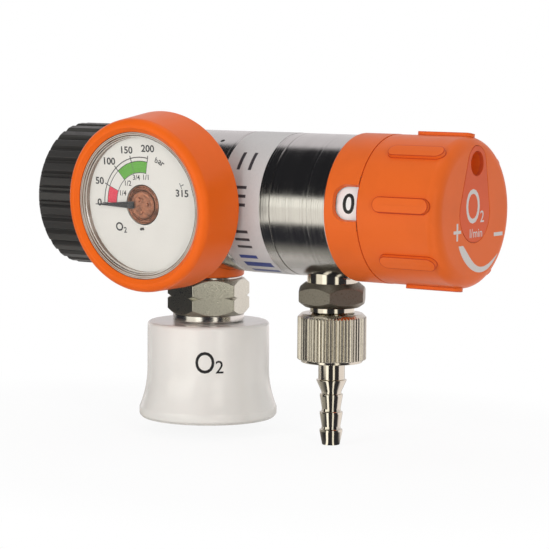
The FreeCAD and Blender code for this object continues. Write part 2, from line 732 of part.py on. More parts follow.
def transfer_seal():
    return Part.makeTorus(TRANSFER_MAJOR, TRANSFER_MINOR, V(SEAM_X + TRANSFER_MINOR, 0, LINK_Z), ALONG)


def label_band():
    return tube(BODY_R + LABEL_SKIN, BODY_R, LABEL_X + BODY_EDGE / 2, LABEL_X + LABEL_WIDTH)


# Flow selector

def orifice_plate():
    start = PARTITION_X + PARTITION_LENGTH + PLATE_GAP
    plate = tube(PLATE_R, SPINDLE_R, start, start + PLATE_LENGTH)
    holes = []
    for step in range(STEP_COUNT):
        direction = round_about_x(LEAN + 360 / STEP_COUNT * step)
        centre = V(0, direction.y * FEED_RADIUS, direction.z * FEED_RADIUS)
        holes.append(rod(ORIFICE_R, start - 1, start + PLATE_LENGTH + 1, centre, ALONG))
    return plate.cut(holes)


def selector_spindle():
    start = PARTITION_X + PARTITION_LENGTH + PLATE_GAP - 0.2
    plate_end = PARTITION_X + PARTITION_LENGTH + PLATE_GAP + PLATE_LENGTH
    groove = BONNET_FLANGE_X + 2.0
    return turned([
        (start, 0),
        (start, SPINDLE_R),
        (plate_end, SPINDLE_R),
        (plate_end, SPINDLE_R + SPINDLE_FLANGE),
        (BONNET_X - MOVE, SPINDLE_R + SPINDLE_FLANGE),
        (BONNET_X - MOVE, SPINDLE_R),
        (groove, SPINDLE_R),
        (groove, SPINDLE_R - 0.9),
        (groove + 1.6, SPINDLE_R - 0.9),
        (groove + 1.6, SPINDLE_R),
        (SPINDLE_END, SPINDLE_R),
        (SPINDLE_END, SCREW_R),
        (SPINDLE_END - SCREW_LENGTH, SCREW_R),
        (SPINDLE_END - SCREW_LENGTH, 0),
    ])


def spindle_o_ring():
    return Part.makeTorus(SPINDLE_R - 0.45, 0.42, V(BONNET_FLANGE_X + 2.8, 0, 0), ALONG)


def selector_bonnet():
    shape = turned([
        (BONNET_X, SPINDLE_R + RUN),
        (BONNET_X, SELECTOR_R - SEAT),
        (BONNET_FLANGE_X, SELECTOR_R - SEAT),
        (BONNET_FLANGE_X, BONNET_FLANGE_R),
        (HOUSING_END, BONNET_FLANGE_R),
        (HOUSING_END, BOSS_R),
        (BOSS_END, BOSS_R),
        (BOSS_END, SPINDLE_R + RUN),
    ])
    pocket = rod(BALL_R + SEAT, DETENT_FLOOR, BOSS_R + 1, V(DETENT_X, 0, 0), round_about_x(LEAN + 180))
    return shape.cut(pocket)


def detent_centre():
    """Radius of the detent ball's centre, clear of the drum."""
    return DRUM_R - DRUM_WALL - BALL_R - 0.2


def detent_ball():
    direction = round_about_x(LEAN + 180)
    radius = detent_centre()
    return Part.makeSphere(BALL_R, V(DETENT_X, direction.y * radius, direction.z * radius))


def detent_spring():
    spring = coil(BALL_R - 0.55, 0.5, 5, DETENT_FLOOR + 0.1, detent_centre() - BALL_R * 0.85)
    turn = FreeCAD.Rotation(UP, round_about_x(LEAN + 180))
    return moved(spring, FreeCAD.Placement(V(DETENT_X, 0, 0), turn))


def window_ring():
    start = HOUSING_END
    shape = turned([
        (start, SPIGOT_R + SEAT),
        (start, RING_R - 0.5),
        (start + 0.5, RING_R),
        (RING_END, RING_R),
        (RING_END, RING_BORE_R),
        (start + RING_WALL, RING_BORE_R),
        (start + RING_WALL, SPIGOT_R + SEAT),
    ])
    return shape.cut(window_hole()).removeSplitter()


def window_outline(half, height):
    """The window's outline on a plane at a height over the axis, open towards the ring's free edge."""
    shut = RING_END - WINDOW_REACH
    free = RING_END + 1
    bend = shut + WINDOW_CORNER
    flat = half - WINDOW_CORNER
    slant = WINDOW_CORNER * (1 - math.sqrt(0.5))
    middle = shut + slant
    edges = [
        Part.makeLine(V(free, -half, height), V(bend, -half, height)),
        Part.Arc(V(bend, -half, height), V(middle, slant - half, height), V(shut, -flat, height)).toShape(),
        Part.makeLine(V(shut, -flat, height), V(shut, flat, height)),
        Part.Arc(V(shut, flat, height), V(middle, half - slant, height), V(bend, half, height)).toShape(),
        Part.makeLine(V(bend, half, height), V(free, half, height)),
        Part.makeLine(V(free, half, height), V(free, -half, height)),
    ]
    return Part.Wire(edges)


def window_hole():
    """The cutter of the window, with walls that stand radially, pointing outward through the ring."""
    slope = WINDOW_SPREAD / (RING_R - DRUM_R)
    low = DRUM_R - 1
    high = RING_R + 1
    outlines = [window_outline(WINDOW_HALF + slope * (height - DRUM_R), height) for height in (low, high)]
    return facing(Part.makeLoft(outlines, True, True), 0, LEAN)


def knob_start():
    return RING_END + MOVE


def number_drum():
    plug_r = KNOB_R - KNOB_WALL - SEAT
    start = knob_start()
    end = start + KNOB_SKIRT
    return turned([
        (DRUM_START, DRUM_R - DRUM_WALL),
        (DRUM_START, DRUM_R),
        (start, DRUM_R),
        (start, plug_r),
        (end, plug_r),
        (end, KNOB_HUB_R + SEAT),
        (end - 2, KNOB_HUB_R + SEAT),
        (end - 2, DRUM_R - DRUM_WALL),
    ])


def flow_knob():
    start = knob_start()
    inner = KNOB_R - KNOB_WALL
    wall = KNOB_END - KNOB_FACE
    round_start = (KNOB_END - KNOB_ROUND, KNOB_R)
    round_end = (KNOB_END, KNOB_R - KNOB_ROUND)
    hub_start = start + KNOB_SKIRT - 2
    shape = turned([
        (start, inner),
        (start, KNOB_R - 0.5),
        (start + 0.5, KNOB_R),
        round_start,
        round_corner(round_start, round_end, (KNOB_END - KNOB_ROUND, KNOB_R - KNOB_ROUND)),
        (KNOB_END, 0),
        (SPINDLE_END, 0),
        (SPINDLE_END, SPINDLE_R),
        (hub_start, SPINDLE_R),
        (hub_start, KNOB_HUB_R),
        (wall, KNOB_HUB_R),
        (wall, inner),
    ])
    pads = []
    pad_middle = KNOB_END - GRIP_END_GAP - GRIP_LENGTH / 2
    shell = turned([
        (start, KNOB_R - 0.4),
        (start, KNOB_R + GRIP_HEIGHT),
        (KNOB_END - KNOB_ROUND, KNOB_R + GRIP_HEIGHT),
        (KNOB_END, KNOB_R - KNOB_ROUND),
        (KNOB_END - KNOB_ROUND, KNOB_R - 0.4),
    ])
    for step in range(PAD_COUNT):
        pad = slot_prism(GRIP_LENGTH, GRIP_WIDTH, KNOB_R + 3)
        pads.append(facing(pad, pad_middle, LEAN + 360 / PAD_COUNT * step).common(shell))
    shape = shape.fuse(pads)
    insert = insert_prism(INSERT_R + SEAT, INSERT_TIP_R + SEAT, KNOB_END - INSERT_DEPTH, KNOB_END + 1)
    key = rod(KEY_HOLE_R, KNOB_END - KEY_HOLE_DEPTH, KNOB_END, key_centre(), ALONG)
    boss_start = KNOB_END - KEY_HOLE_DEPTH - 1.5
    boss = rod(KEY_HOLE_R + 1.6, boss_start, KNOB_END - INSERT_DEPTH, key_centre(), ALONG)
    head = rod(SCREW_HEAD_R + 0.2, KNOB_END - INSERT_DEPTH - SCREW_HEAD - 0.2, KNOB_END)
    shank = rod(SCREW_R + 0.1, SPINDLE_END - 1, KNOB_END)
    return shape.fuse(boss).cut([insert, key, head, shank]).removeSplitter()


def key_centre():
    """Centre of the key hole, above the middle of the knob's face and leaning with it."""
    lean = math.radians(FACE_LEAN)
    return V(0, INSERT_REACH * math.sin(lean), INSERT_REACH * math.cos(lean))


def insert_prism(radius, tip_r, start, end):
    """The knob insert's outline: two rounds joined by their outer tangents, along X."""
    split = math.acos((radius - tip_r) / INSERT_REACH)
    side = V(math.sin(split), math.cos(split), 0)
    mirror = V(-side.x, side.y, 0)
    tip = V(0, INSERT_REACH, 0)
    edges = [
        Part.Arc(side * radius, V(0, -radius, 0), mirror * radius).toShape(),
        Part.makeLine(mirror * radius, tip + mirror * tip_r),
        Part.Arc(tip + mirror * tip_r, tip + V(0, tip_r, 0), tip + side * tip_r).toShape(),
        Part.makeLine(tip + side * tip_r, side * radius),
    ]
    solid = Part.Face(Part.Wire(edges)).extrude(V(0, 0, end - start))
    solid.translate(V(0, 0, start))
    lie = FreeCAD.Rotation(V(0, 1, 0), V(0, 0, 1), V(1, 0, 0), "ZXY")
    lean = FreeCAD.Rotation(ALONG, -FACE_LEAN)
    return moved(solid, FreeCAD.Placement(ORIGIN, lean.multiply(lie)))


def knob_insert():
    plate = insert_prism(INSERT_R, INSERT_TIP_R, KNOB_END - INSERT_DEPTH, KNOB_END)
    return plate.cut(rod(KEY_HOLE_R, KNOB_END - INSERT_DEPTH - 1, KNOB_END + 1, key_centre(), ALONG))


def knob_screw():
    head_start = KNOB_END - INSERT_DEPTH - SCREW_HEAD - 0.2
    return turned([
        (SPINDLE_END - SCREW_LENGTH + 0.3, 0),
        (SPINDLE_END - SCREW_LENGTH + 0.3, SCREW_R - SEAT),
        (head_start, SCREW_R - SEAT),
        (head_start, SCREW_HEAD_R),
        (head_start + SCREW_HEAD, SCREW_HEAD_R),
        (head_start + SCREW_HEAD, 0),
    ])


# Gauge

def on_gauge(points):
    return turned(points, gauge_face(), gauge_axis())


def gauge_cover():
    start = (COVER_FRONT - COVER_ROUND, COVER_FRONT_R)
    end = (COVER_FRONT, COVER_FRONT_R - COVER_ROUND)
    return on_gauge([
        (COVER_REAR, GAUGE_STEM_R + GAUGE_HOLE),
        (COVER_REAR, COVER_REAR_R - 1.0),
        (COVER_REAR + 1.0, COVER_REAR_R),
        start,
        round_corner(start, end, (start[0], end[1])),
        (BEZEL_EDGE, BEZEL_R),
        (LENS_FRONT, BEZEL_R),
        (LENS_FRONT, CASE_R + SEAT),
        (COVER_REAR + COVER_WALL, CASE_R + SEAT),
        (COVER_REAR + COVER_WALL, GAUGE_STEM_R + GAUGE_HOLE),
    ])


def gauge_case():
    return on_gauge([
        (CASE_REAR, GAUGE_STEM_R + SEAT),
        (CASE_REAR, CASE_R),
        (LENS_FRONT, CASE_R),
        (LENS_FRONT, CASE_R - CASE_WALL),
        (-DIAL_SKIN, CASE_R - CASE_WALL),
        (-DIAL_SKIN, CASE_R - CASE_WALL - CASE_LEDGE),
        (-DIAL_SKIN - 1.2, CASE_R - CASE_WALL - CASE_LEDGE),
        (-DIAL_SKIN - 1.2, CASE_R - CASE_WALL),
        (CASE_REAR + CASE_WALL, CASE_R - CASE_WALL),
        (CASE_REAR + CASE_WALL, GAUGE_STEM_R + SEAT),
    ])


def gauge_dial():
    return on_gauge([(-DIAL_SKIN, DIAL_HOLE_R), (-DIAL_SKIN, DIAL_R), (0, DIAL_R), (0, DIAL_HOLE_R)])


def gauge_lens():
    return on_gauge([
        (0, DIAL_VIEW_R),
        (0, DIAL_R),
        (LENS_FRONT, DIAL_R),
        (LENS_FRONT, 0),
        (LENS_FRONT - LENS_SKIN, 0),
        (LENS_FRONT - LENS_SKIN, DIAL_VIEW_R),
    ])


def gauge_stem():
    inner = gauge_root()
    hex_start = COVER_REAR + 0.2
    hex_end = CASE_REAR
    top = CASE_REAR + GAUGE_HEAD
    shape = on_gauge([
        (inner, GAUGE_STEM_BORE),
        (inner, GAUGE_STEM_R),
        (top, GAUGE_STEM_R),
        (top, GAUGE_STEM_BORE),
    ])
    corner = GAUGE_HEX_AF / math.sqrt(3)
    angles = [math.radians(60 * step) for step in range(6)]
    nut = prism([(corner * math.cos(a), corner * math.sin(a)) for a in angles], hex_start, hex_end)
    nut = moved(nut, FreeCAD.Placement(gauge_face(), FreeCAD.Rotation(UP, gauge_axis())))
    hole = rod(GAUGE_STEM_R - 0.5, hex_start - 1, hex_end + 1, gauge_face(), gauge_axis())
    return shape.fuse(nut.cut(hole))


def bourdon_coil():
    """The flat spiral of the pressure tube, seen through the dial's hole as close rings."""
    floor = CASE_REAR + GAUGE_HEAD
    step = (COIL_R - CARRIER_R - 0.1) / COIL_RINGS
    points = [(floor, 0), (floor, COIL_R)]
    radius = COIL_R
    height = 0.0
    for ring in range(COIL_RINGS):
        points.append((height, radius))
        points.append((height, radius - step * 0.7))
        points.append((height - COIL_SINK, radius - step * 0.7))
        radius -= step
        points.append((height - COIL_SINK, radius))
    points.append((height - 2.0, radius))
    points.append((height - 2.0, 0))
    return on_gauge(points)


def pointer_carrier():
    return on_gauge([
        (-1.6, 0),
        (-1.6, CARRIER_R - 0.2),
        (CARRIER_TOP - 1.2, CARRIER_R - 0.2),
        (CARRIER_TOP - 0.5, CARRIER_R - 0.7),
        (CARRIER_TOP - 0.5, 0),
    ])


def gauge_pointer():
    """A tapered blade from the carrier out to the zero mark, at its rest on the left."""
    root = -POINTER_ROOT
    tip = -POINTER_TIP_R
    wide = POINTER_HALF_ROOT
    narrow = POINTER_HALF_TIP
    outline = [(root, -wide), (root, wide), (tip, narrow), (tip, -narrow)]
    blade = prism(outline, CARRIER_TOP - 0.45, CARRIER_TOP - 0.45 + POINTER_SKIN)
    return moved(blade, gauge_frame())


def gauge_frame():
    """Placement of the dial: local X to the right, local Y up the dial and local Z out of its face."""
    outward = gauge_axis()
    right = ALONG
    above = outward.cross(right)
    rotation = FreeCAD.Rotation(right, above, outward, "ZXY")
    return FreeCAD.Placement(gauge_face(), rotation)


def stop_pin():
    pin = Part.makeCylinder(STOP_PIN_R, STOP_PIN_LENGTH, V(-STOP_PIN_OFFSET, -STOP_PIN_DROP, 0))
    return moved(pin, gauge_frame())


# Quick coupling

def under(x):
    return V(x, 0, 0)


def coupling_base():
    return under(COUPLING_X)


def outlet_collar():
    top = COLLAR_BOTTOM + COLLAR_HEIGHT
    ring = turned([
        (COLLAR_BOTTOM, COLLAR_BORE_R),
        (COLLAR_BOTTOM, COLLAR_R - 0.8),
        (COLLAR_BOTTOM + 0.8, COLLAR_R),
        (top, COLLAR_R),
        (top, COLLAR_BORE_R),
    ], coupling_base(), UP)
    return ring.cut(rod(BODY_R + SEAT, BODY_START, SEAM_X))


def coupling_washer():
    return tube(WASHER_R, SOCKET_SHANK_R + SEAT, HEX_TOP, COLLAR_BOTTOM, coupling_base(), UP)


def coupling_adapter():
    corner = HEX_AF / math.sqrt(3)
    flat = HEX_AF / 2
    drop = (corner - flat) * HEX_CORNER_CUT + 0.9
    body = hexagon(HEX_AF, HEX_TURN, HEX_BOTTOM, HEX_TOP, coupling_base())
    envelope = turned([
        (HEX_BOTTOM, 0),
        (HEX_BOTTOM, flat - 0.1),
        (HEX_BOTTOM + drop, corner + 0.05),
        (HEX_GROOVE_Z - HEX_GROOVE, corner + 0.05),
        (HEX_GROOVE_Z, corner - HEX_GROOVE - 0.3),
        (HEX_GROOVE_Z + HEX_GROOVE, corner + 0.05),
        (HEX_TOP - drop, corner + 0.05),
        (HEX_TOP, flat - 0.1),
        (HEX_TOP, 0),
    ], coupling_base(), UP)
    shank = rod(SOCKET_SHANK_R, HEX_TOP - 1, SOCKET_PORT_TOP - 0.5, coupling_base(), UP)
    spigot = rod(SOCKET_SHANK_R, POPPET_CHAMBER_TOP, HEX_BOTTOM + 1, coupling_base(), UP)
    bore = rod(GAS_R, POPPET_CHAMBER_TOP - 1, 0, coupling_base(), UP)
    return body.common(envelope).fuse([shank, spigot]).cut(bore).removeSplitter()


def coupling_body():
    shape = turned([
        (HEX_BOTTOM, SOCKET_SHANK_R),
        (HEX_BOTTOM, FLANGE_R - 0.4),
        (HEX_BOTTOM - 0.4, FLANGE_R),
        (FLANGE_BOTTOM + 0.4, FLANGE_R),
        (FLANGE_BOTTOM, FLANGE_R - 0.4),
        (FLANGE_BOTTOM, TUBE_R),
        (CLIP_TOP, TUBE_R),
        (CLIP_TOP, TUBE_R - CLIP_GROOVE),
        (CLIP_TOP - CLIP_LENGTH, TUBE_R - CLIP_GROOVE),
        (CLIP_TOP - CLIP_LENGTH, TUBE_R),
        (TUBE_END, TUBE_R),
        (TUBE_END, SOCKET_R + 0.8),
        (TUBE_END + 0.8, SOCKET_R),
        (SOCKET_TOP, SOCKET_R),
        (SOCKET_TOP, SEAL_GROOVE_R),
        (SEAL_GROOVE_TOP, SEAL_GROOVE_R),
        (SEAL_GROOVE_TOP, POPPET_HOLE_R),
        (POPPET_SEAT_Z, POPPET_HOLE_R),
        (POPPET_SEAT_Z, POPPET_CHAMBER_R),
        (POPPET_CHAMBER_TOP, POPPET_CHAMBER_R),
        (POPPET_CHAMBER_TOP, SOCKET_SHANK_R),
    ], coupling_base(), UP)
    holes = [
        rod(LOCK_BALL_R + SEAT, 0, TUBE_R + 1, V(COUPLING_X, 0, LOCK_BALL_Z), lock_direction(step))
        for step in range(LOCK_BALLS)
    ]
    return shape.cut(holes)


def lock_direction(step):
    angle = math.radians(90 + 360 / LOCK_BALLS * step)
    return V(math.cos(angle), math.sin(angle), 0)


def lock_balls():
    balls = []
    for step in range(LOCK_BALLS):
        centre = V(COUPLING_X, 0, LOCK_BALL_Z) + lock_direction(step) * (TUBE_R - LOCK_BALL_R - SEAT)
        balls.append(Part.makeSphere(LOCK_BALL_R, centre))
    return Part.makeCompound(balls)


def coupling_poppet():
    rest = POPPET_SEAT_Z + 0.1
    return turned([
        (SEAL_GROOVE_TOP + 0.1, 0),
        (SEAL_GROOVE_TOP + 0.1, POPPET_HOLE_R - 0.9),
        (rest, POPPET_HOLE_R - 0.4),
        (rest, POPPET_CHAMBER_R - 0.4),
        (rest + POPPET_HEAD, POPPET_CHAMBER_R - 0.4),
        (rest + POPPET_HEAD, GAS_R - 0.3),
        (POPPET_CHAMBER_TOP + 0.8, GAS_R - 0.3),
        (POPPET_CHAMBER_TOP + 0.8, 0),
    ], coupling_base(), UP)


def poppet_spring():
    spring = coil(POPPET_CHAMBER_R - 1.7, 0.7, 3, POPPET_SEAT_Z + POPPET_HEAD + 0.2, POPPET_CHAMBER_TOP - 0.1)
    spring.translate(coupling_base())
    return spring


def socket_seal():
    minor = (SEAL_GROOVE_R - SOCKET_R) / 2
    middle = (SOCKET_TOP + SEAL_GROOVE_TOP) / 2
    return Part.makeTorus(SEAL_GROOVE_R - minor, minor, V(COUPLING_X, 0, middle), UP)


def spring_clip():
    inner = TUBE_R - CLIP_GROOVE + SEAT
    return tube(CLIP_R, inner, CLIP_TOP - CLIP_LENGTH + 0.05, CLIP_TOP - 0.05, coupling_base(), UP)


def sleeve_spring():
    top = SLEEVE_TOP - SLEEVE_TOP_WALL
    mean = (TUBE_R + HUB_BORE_R) / 2
    spring = coil(mean, SLEEVE_WIRE, SLEEVE_TURNS, CLIP_TOP, top - 0.1)
    spring.translate(coupling_base())
    return spring


def locking_ring():
    low = LOCK_RING_TOP - LOCK_RING_LENGTH
    return tube(HUB_BORE_R, TUBE_R + RUN, low, LOCK_RING_TOP, coupling_base(), UP)


def release_sleeve():
    inner = SLEEVE_R - SLEEVE_WALL
    flare_inner = SLEEVE_FLARE_R - SLEEVE_WALL
    under_top = SLEEVE_TOP - SLEEVE_TOP_WALL
    low = LOCK_RING_TOP - LOCK_RING_LENGTH
    crown = (SLEEVE_TOP, SLEEVE_R - SLEEVE_ROUND)
    shoulder = (SLEEVE_TOP - SLEEVE_ROUND, SLEEVE_R)
    bell = (SLEEVE_STRAIGHT_END * 0.42 + SLEEVE_FLARE_Z * 0.58, SLEEVE_R + SLEEVE_FLARE * 0.3)
    return turned([
        (SLEEVE_TOP, TUBE_R + RUN),
        crown,
        round_corner(crown, shoulder, (shoulder[0], crown[1])),
        (SLEEVE_STRAIGHT_END, SLEEVE_R),
        (bell[0], bell[1], SLEEVE_FLARE_Z, SLEEVE_FLARE_R),
        (SLEEVE_BOTTOM + SLEEVE_EDGE, SLEEVE_FLARE_R - 0.1),
        (SLEEVE_BOTTOM, SLEEVE_FLARE_R - SLEEVE_EDGE),
        (SLEEVE_BOTTOM, flare_inner),
        (SLEEVE_FLARE_Z, flare_inner),
        (SLEEVE_STRAIGHT_END, inner),
        (under_top, inner),
        (under_top, HUB_R),
        (low, HUB_R),
        (low, HUB_BORE_R),
        (under_top, HUB_BORE_R),
        (under_top, TUBE_R + RUN),
    ], coupling_base(), UP)


# Hose outlet

def outlet_adapter():
    base = under(OUTLET_X)
    corner = OUTLET_HEX_AF / math.sqrt(3)
    shape = hexagon(OUTLET_HEX_AF, OUTLET_HEX_TURN, OUTLET_HEX_BOTTOM, OUTLET_HEX_TOP, base)
    envelope = turned([
        (OUTLET_HEX_BOTTOM, 0),
        (OUTLET_HEX_BOTTOM, OUTLET_NECK_R + 0.6),
        (OUTLET_FLAT_BOTTOM, corner),
        (OUTLET_FLAT_TOP, corner),
        (OUTLET_HEX_TOP, OUTLET_NECK_R + 0.6),
        (OUTLET_HEX_TOP, 0),
    ], base, UP)
    neck = rod(OUTLET_NECK_R, OUTLET_HEX_TOP - 0.5, OUTLET_NECK_SINK - BODY_R, base, UP)
    neck = neck.cut(rod(BODY_R + SEAT, SEAM_X, HOUSING_END))
    shank = rod(OUTLET_SHANK_R, OUTLET_HEX_TOP - 0.5, OUTLET_PORT_TOP - 0.4, base, UP)
    thread = rod(OUTLET_THREAD_R, OUTLET_THREAD_END, OUTLET_HEX_BOTTOM + 0.5, base, UP)
    bore = rod(GAS_R, OUTLET_THREAD_END - 1, 0, base, UP)
    return shape.common(envelope).fuse([neck, shank, thread]).cut(bore).removeSplitter()


def knurled_nut():
    base = under(OUTLET_X)
    teeth = []
    for step in range(KNURL_COUNT):
        pitch = 2 * math.pi / KNURL_COUNT
        for radius, share in ((NUT_R, -0.2), (NUT_R, 0.2), (NUT_R - KNURL_DEPTH, 0.5)):
            angle = pitch * (step + share)
            teeth.append((radius * math.cos(angle), radius * math.sin(angle)))
    grip = prism(teeth, NUT_KNURL_END, NUT_TOP)
    grip.translate(base)
    envelope = turned([
        (NUT_KNURL_END, 0),
        (NUT_KNURL_END, NUT_R - 0.3),
        (NUT_KNURL_END + 0.3, NUT_R),
        (NUT_TOP - NUT_EDGE, NUT_R),
        (NUT_TOP, NUT_R - NUT_EDGE),
        (NUT_TOP, 0),
    ], base, UP)
    foot = rod(NUT_FOOT_R, NUT_BOTTOM, NUT_KNURL_END + 1, base, UP)
    flange_top = OUTLET_THREAD_END - GASKET
    flange_low = flange_top - TAIL_FLANGE
    hollow = turned([
        (NUT_TOP + 1, 0),
        (NUT_TOP + 1, OUTLET_THREAD_R + RUN),
        (flange_low - MOVE, OUTLET_THREAD_R + RUN),
        (flange_low - MOVE, TAIL_R + 0.2),
        (NUT_BOTTOM - 1, TAIL_R + 0.2),
        (NUT_BOTTOM - 1, 0),
    ], base, UP)
    return grip.common(envelope).fuse(foot).cut(hollow).removeSplitter()


def nipple_washer():
    low = OUTLET_THREAD_END - GASKET
    return tube(TAIL_FLANGE_R, GAS_R + 0.5, low, OUTLET_THREAD_END, under(OUTLET_X), UP)


def hose_nipple():
    top = OUTLET_THREAD_END - GASKET
    flange = top - TAIL_FLANGE
    points = [
        (top, TAIL_BORE_R),
        (top, TAIL_FLANGE_R),
        (flange, TAIL_FLANGE_R),
        (flange, TAIL_R),
        (TAIL_STEM_END, TAIL_R),
        (TAIL_STEM_END, TAIL_R + 0.6),
        (FIRST_BARB_Z + 0.8, TAIL_ROOT_R + 0.3),
    ]
    for step in range(BARB_COUNT):
        edge = FIRST_BARB_Z - BARB_PITCH * step
        points.append((edge, TAIL_ROOT_R + 0.15))
        points.append((edge - 0.15, BARB_R))
        points.append((edge - 0.8, BARB_R))
        points.append((edge - BARB_PITCH + 0.9, TAIL_ROOT_R))
    points.append((TAIL_TIP, TAIL_TIP_R))
    points.append((TAIL_TIP, TAIL_BORE_R))
    return turned(points, under(OUTLET_X), UP)


PARTS = {
    "handwheel_grip": handwheel_grip,
    "handwheel_core": handwheel_core,
    "inlet_nipple": inlet_nipple,
    "inlet_o_ring": inlet_o_ring,
    "inlet_filter": inlet_filter,
    "inlet_body": inlet_body,
    "vent_filter": vent_filter,
    "valve_nozzle": valve_nozzle,
    "piston": piston,
    "piston_seat": piston_seat,
    "piston_o_ring": piston_o_ring,
    "main_spring": main_spring,
    "flow_housing": flow_housing,
    "transfer_seal": transfer_seal,
    "label_band": label_band,
    "orifice_seal": orifice_seal,
    "orifice_plate": orifice_plate,
    "selector_spindle": selector_spindle,
    "spindle_o_ring": spindle_o_ring,
    "selector_bonnet": selector_bonnet,
    "detent_ball": detent_ball,
    "detent_spring": detent_spring,
    "window_ring": window_ring,
    "number_drum": number_drum,
    "flow_knob": flow_knob,
    "knob_insert": knob_insert,
    "knob_screw": knob_screw,
    "gauge_stem": gauge_stem,
    "gauge_case": gauge_case,
    "gauge_cover": gauge_cover,
    "gauge_dial": gauge_dial,
    "bourdon_coil": bourdon_coil,
    "pointer_carrier": pointer_carrier,
    "gauge_pointer": gauge_pointer,
    "gauge_lens": gauge_lens,
    "stop_pin": stop_pin,
    "outlet_collar": outlet_collar,
    "coupling_washer": coupling_washer,
    "coupling_adapter": coupling_adapter,
    "coupling_body": coupling_body,
    "coupling_poppet": coupling_poppet,
    "poppet_spring": poppet_spring,
    "socket_seal": socket_seal,
    "lock_balls": lock_balls,
    "spring_clip": spring_clip,
    "sleeve_spring": sleeve_spring,
    "locking_ring": locking_ring,
    "release_sleeve": release_sleeve,
    "outlet_adapter": outlet_adapter,
    "knurled_nut": knurled_nut,
    "nipple_washer": nipple_washer,
    "hose_nipple": hose_nipple,
}

os.makedirs("parts", exist_ok=True)
for name, build in PARTS.items():
    build().exportStep("parts/" + name + ".step")
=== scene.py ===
"""Looks of an oxygen cylinder pressure regulator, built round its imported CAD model, in Blender 4.5."""

import json
import math

import bmesh
import bpy
import numpy as np
from mathutils import Matrix, Vector
from mathutils.geometry import tessellate_polygon


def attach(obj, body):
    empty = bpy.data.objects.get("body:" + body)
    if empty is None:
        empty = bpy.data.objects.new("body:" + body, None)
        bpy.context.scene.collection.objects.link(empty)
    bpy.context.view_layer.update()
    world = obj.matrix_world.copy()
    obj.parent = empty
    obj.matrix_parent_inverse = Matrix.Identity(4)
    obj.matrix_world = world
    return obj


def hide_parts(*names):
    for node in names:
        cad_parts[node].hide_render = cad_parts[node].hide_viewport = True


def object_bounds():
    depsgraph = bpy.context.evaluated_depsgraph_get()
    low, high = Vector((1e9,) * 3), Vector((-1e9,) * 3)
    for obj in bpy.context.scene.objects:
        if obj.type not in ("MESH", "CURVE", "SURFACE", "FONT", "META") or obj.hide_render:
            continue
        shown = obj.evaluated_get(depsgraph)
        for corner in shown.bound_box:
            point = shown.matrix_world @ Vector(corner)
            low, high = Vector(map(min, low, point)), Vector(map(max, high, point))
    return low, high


bl_info = {
    "name": "Oxygen regulator",
    "version": (1, 0, 0),
    "blender": (4, 5, 0),
    "location": "3D View > Sidebar > Regulator",
    "description": "Builds the pieces, finishes and studio of an oxygen cylinder pressure regulator",
    "category": "Add Mesh",
}

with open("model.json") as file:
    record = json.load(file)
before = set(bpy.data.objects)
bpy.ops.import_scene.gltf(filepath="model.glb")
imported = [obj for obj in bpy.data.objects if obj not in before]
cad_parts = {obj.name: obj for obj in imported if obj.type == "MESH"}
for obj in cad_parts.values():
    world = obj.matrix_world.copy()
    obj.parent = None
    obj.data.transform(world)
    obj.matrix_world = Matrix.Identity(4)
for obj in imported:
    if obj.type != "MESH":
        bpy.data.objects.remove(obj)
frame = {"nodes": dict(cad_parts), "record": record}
CAD_BOX = [list(corner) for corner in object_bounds()]

MM = 0.001
TURN = 2 * math.pi

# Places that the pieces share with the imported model, in millimetres
BODY_START = 21.0
SEAM_X = 66.4
HOUSING_END = 108.6
RING_END = 120.9
KNOB_START = 121.2
KNOB_END = 150.1
GAUGE_X = 47.2
DIAL_Y = -38.0
GAUGE_LEAN = math.radians(4.6)
COUPLING_X = 46.1
OUTLET_X = 96.6
WINDOW_LEAN = math.radians(7.2)
FACE_LEAN = math.radians(4.2)
LABEL_START = 67.3
LABEL_END = 83.25
DRUM_RADIUS = 21.9
WHITE = (1.0, 1.0, 1.0, 1.0)
SQUARE = ((-1, -1), (1, -1), (1, 1), (-1, 1))


def length(label, text, millimetres):
    """A size that a user may change, held in metres."""
    settings = {"name": label, "description": text, "default": millimetres * MM}
    return bpy.props.FloatProperty(min=0.0, unit="LENGTH", **settings)


def number(label, text, value, low):
    return bpy.props.IntProperty(name=label, description=text, default=value, min=low)


def tint(label, text, colour):
    return bpy.props.FloatVectorProperty(
        name=label, description=text, default=colour, subtype="COLOR", size=3, min=0.0, max=1.0
    )


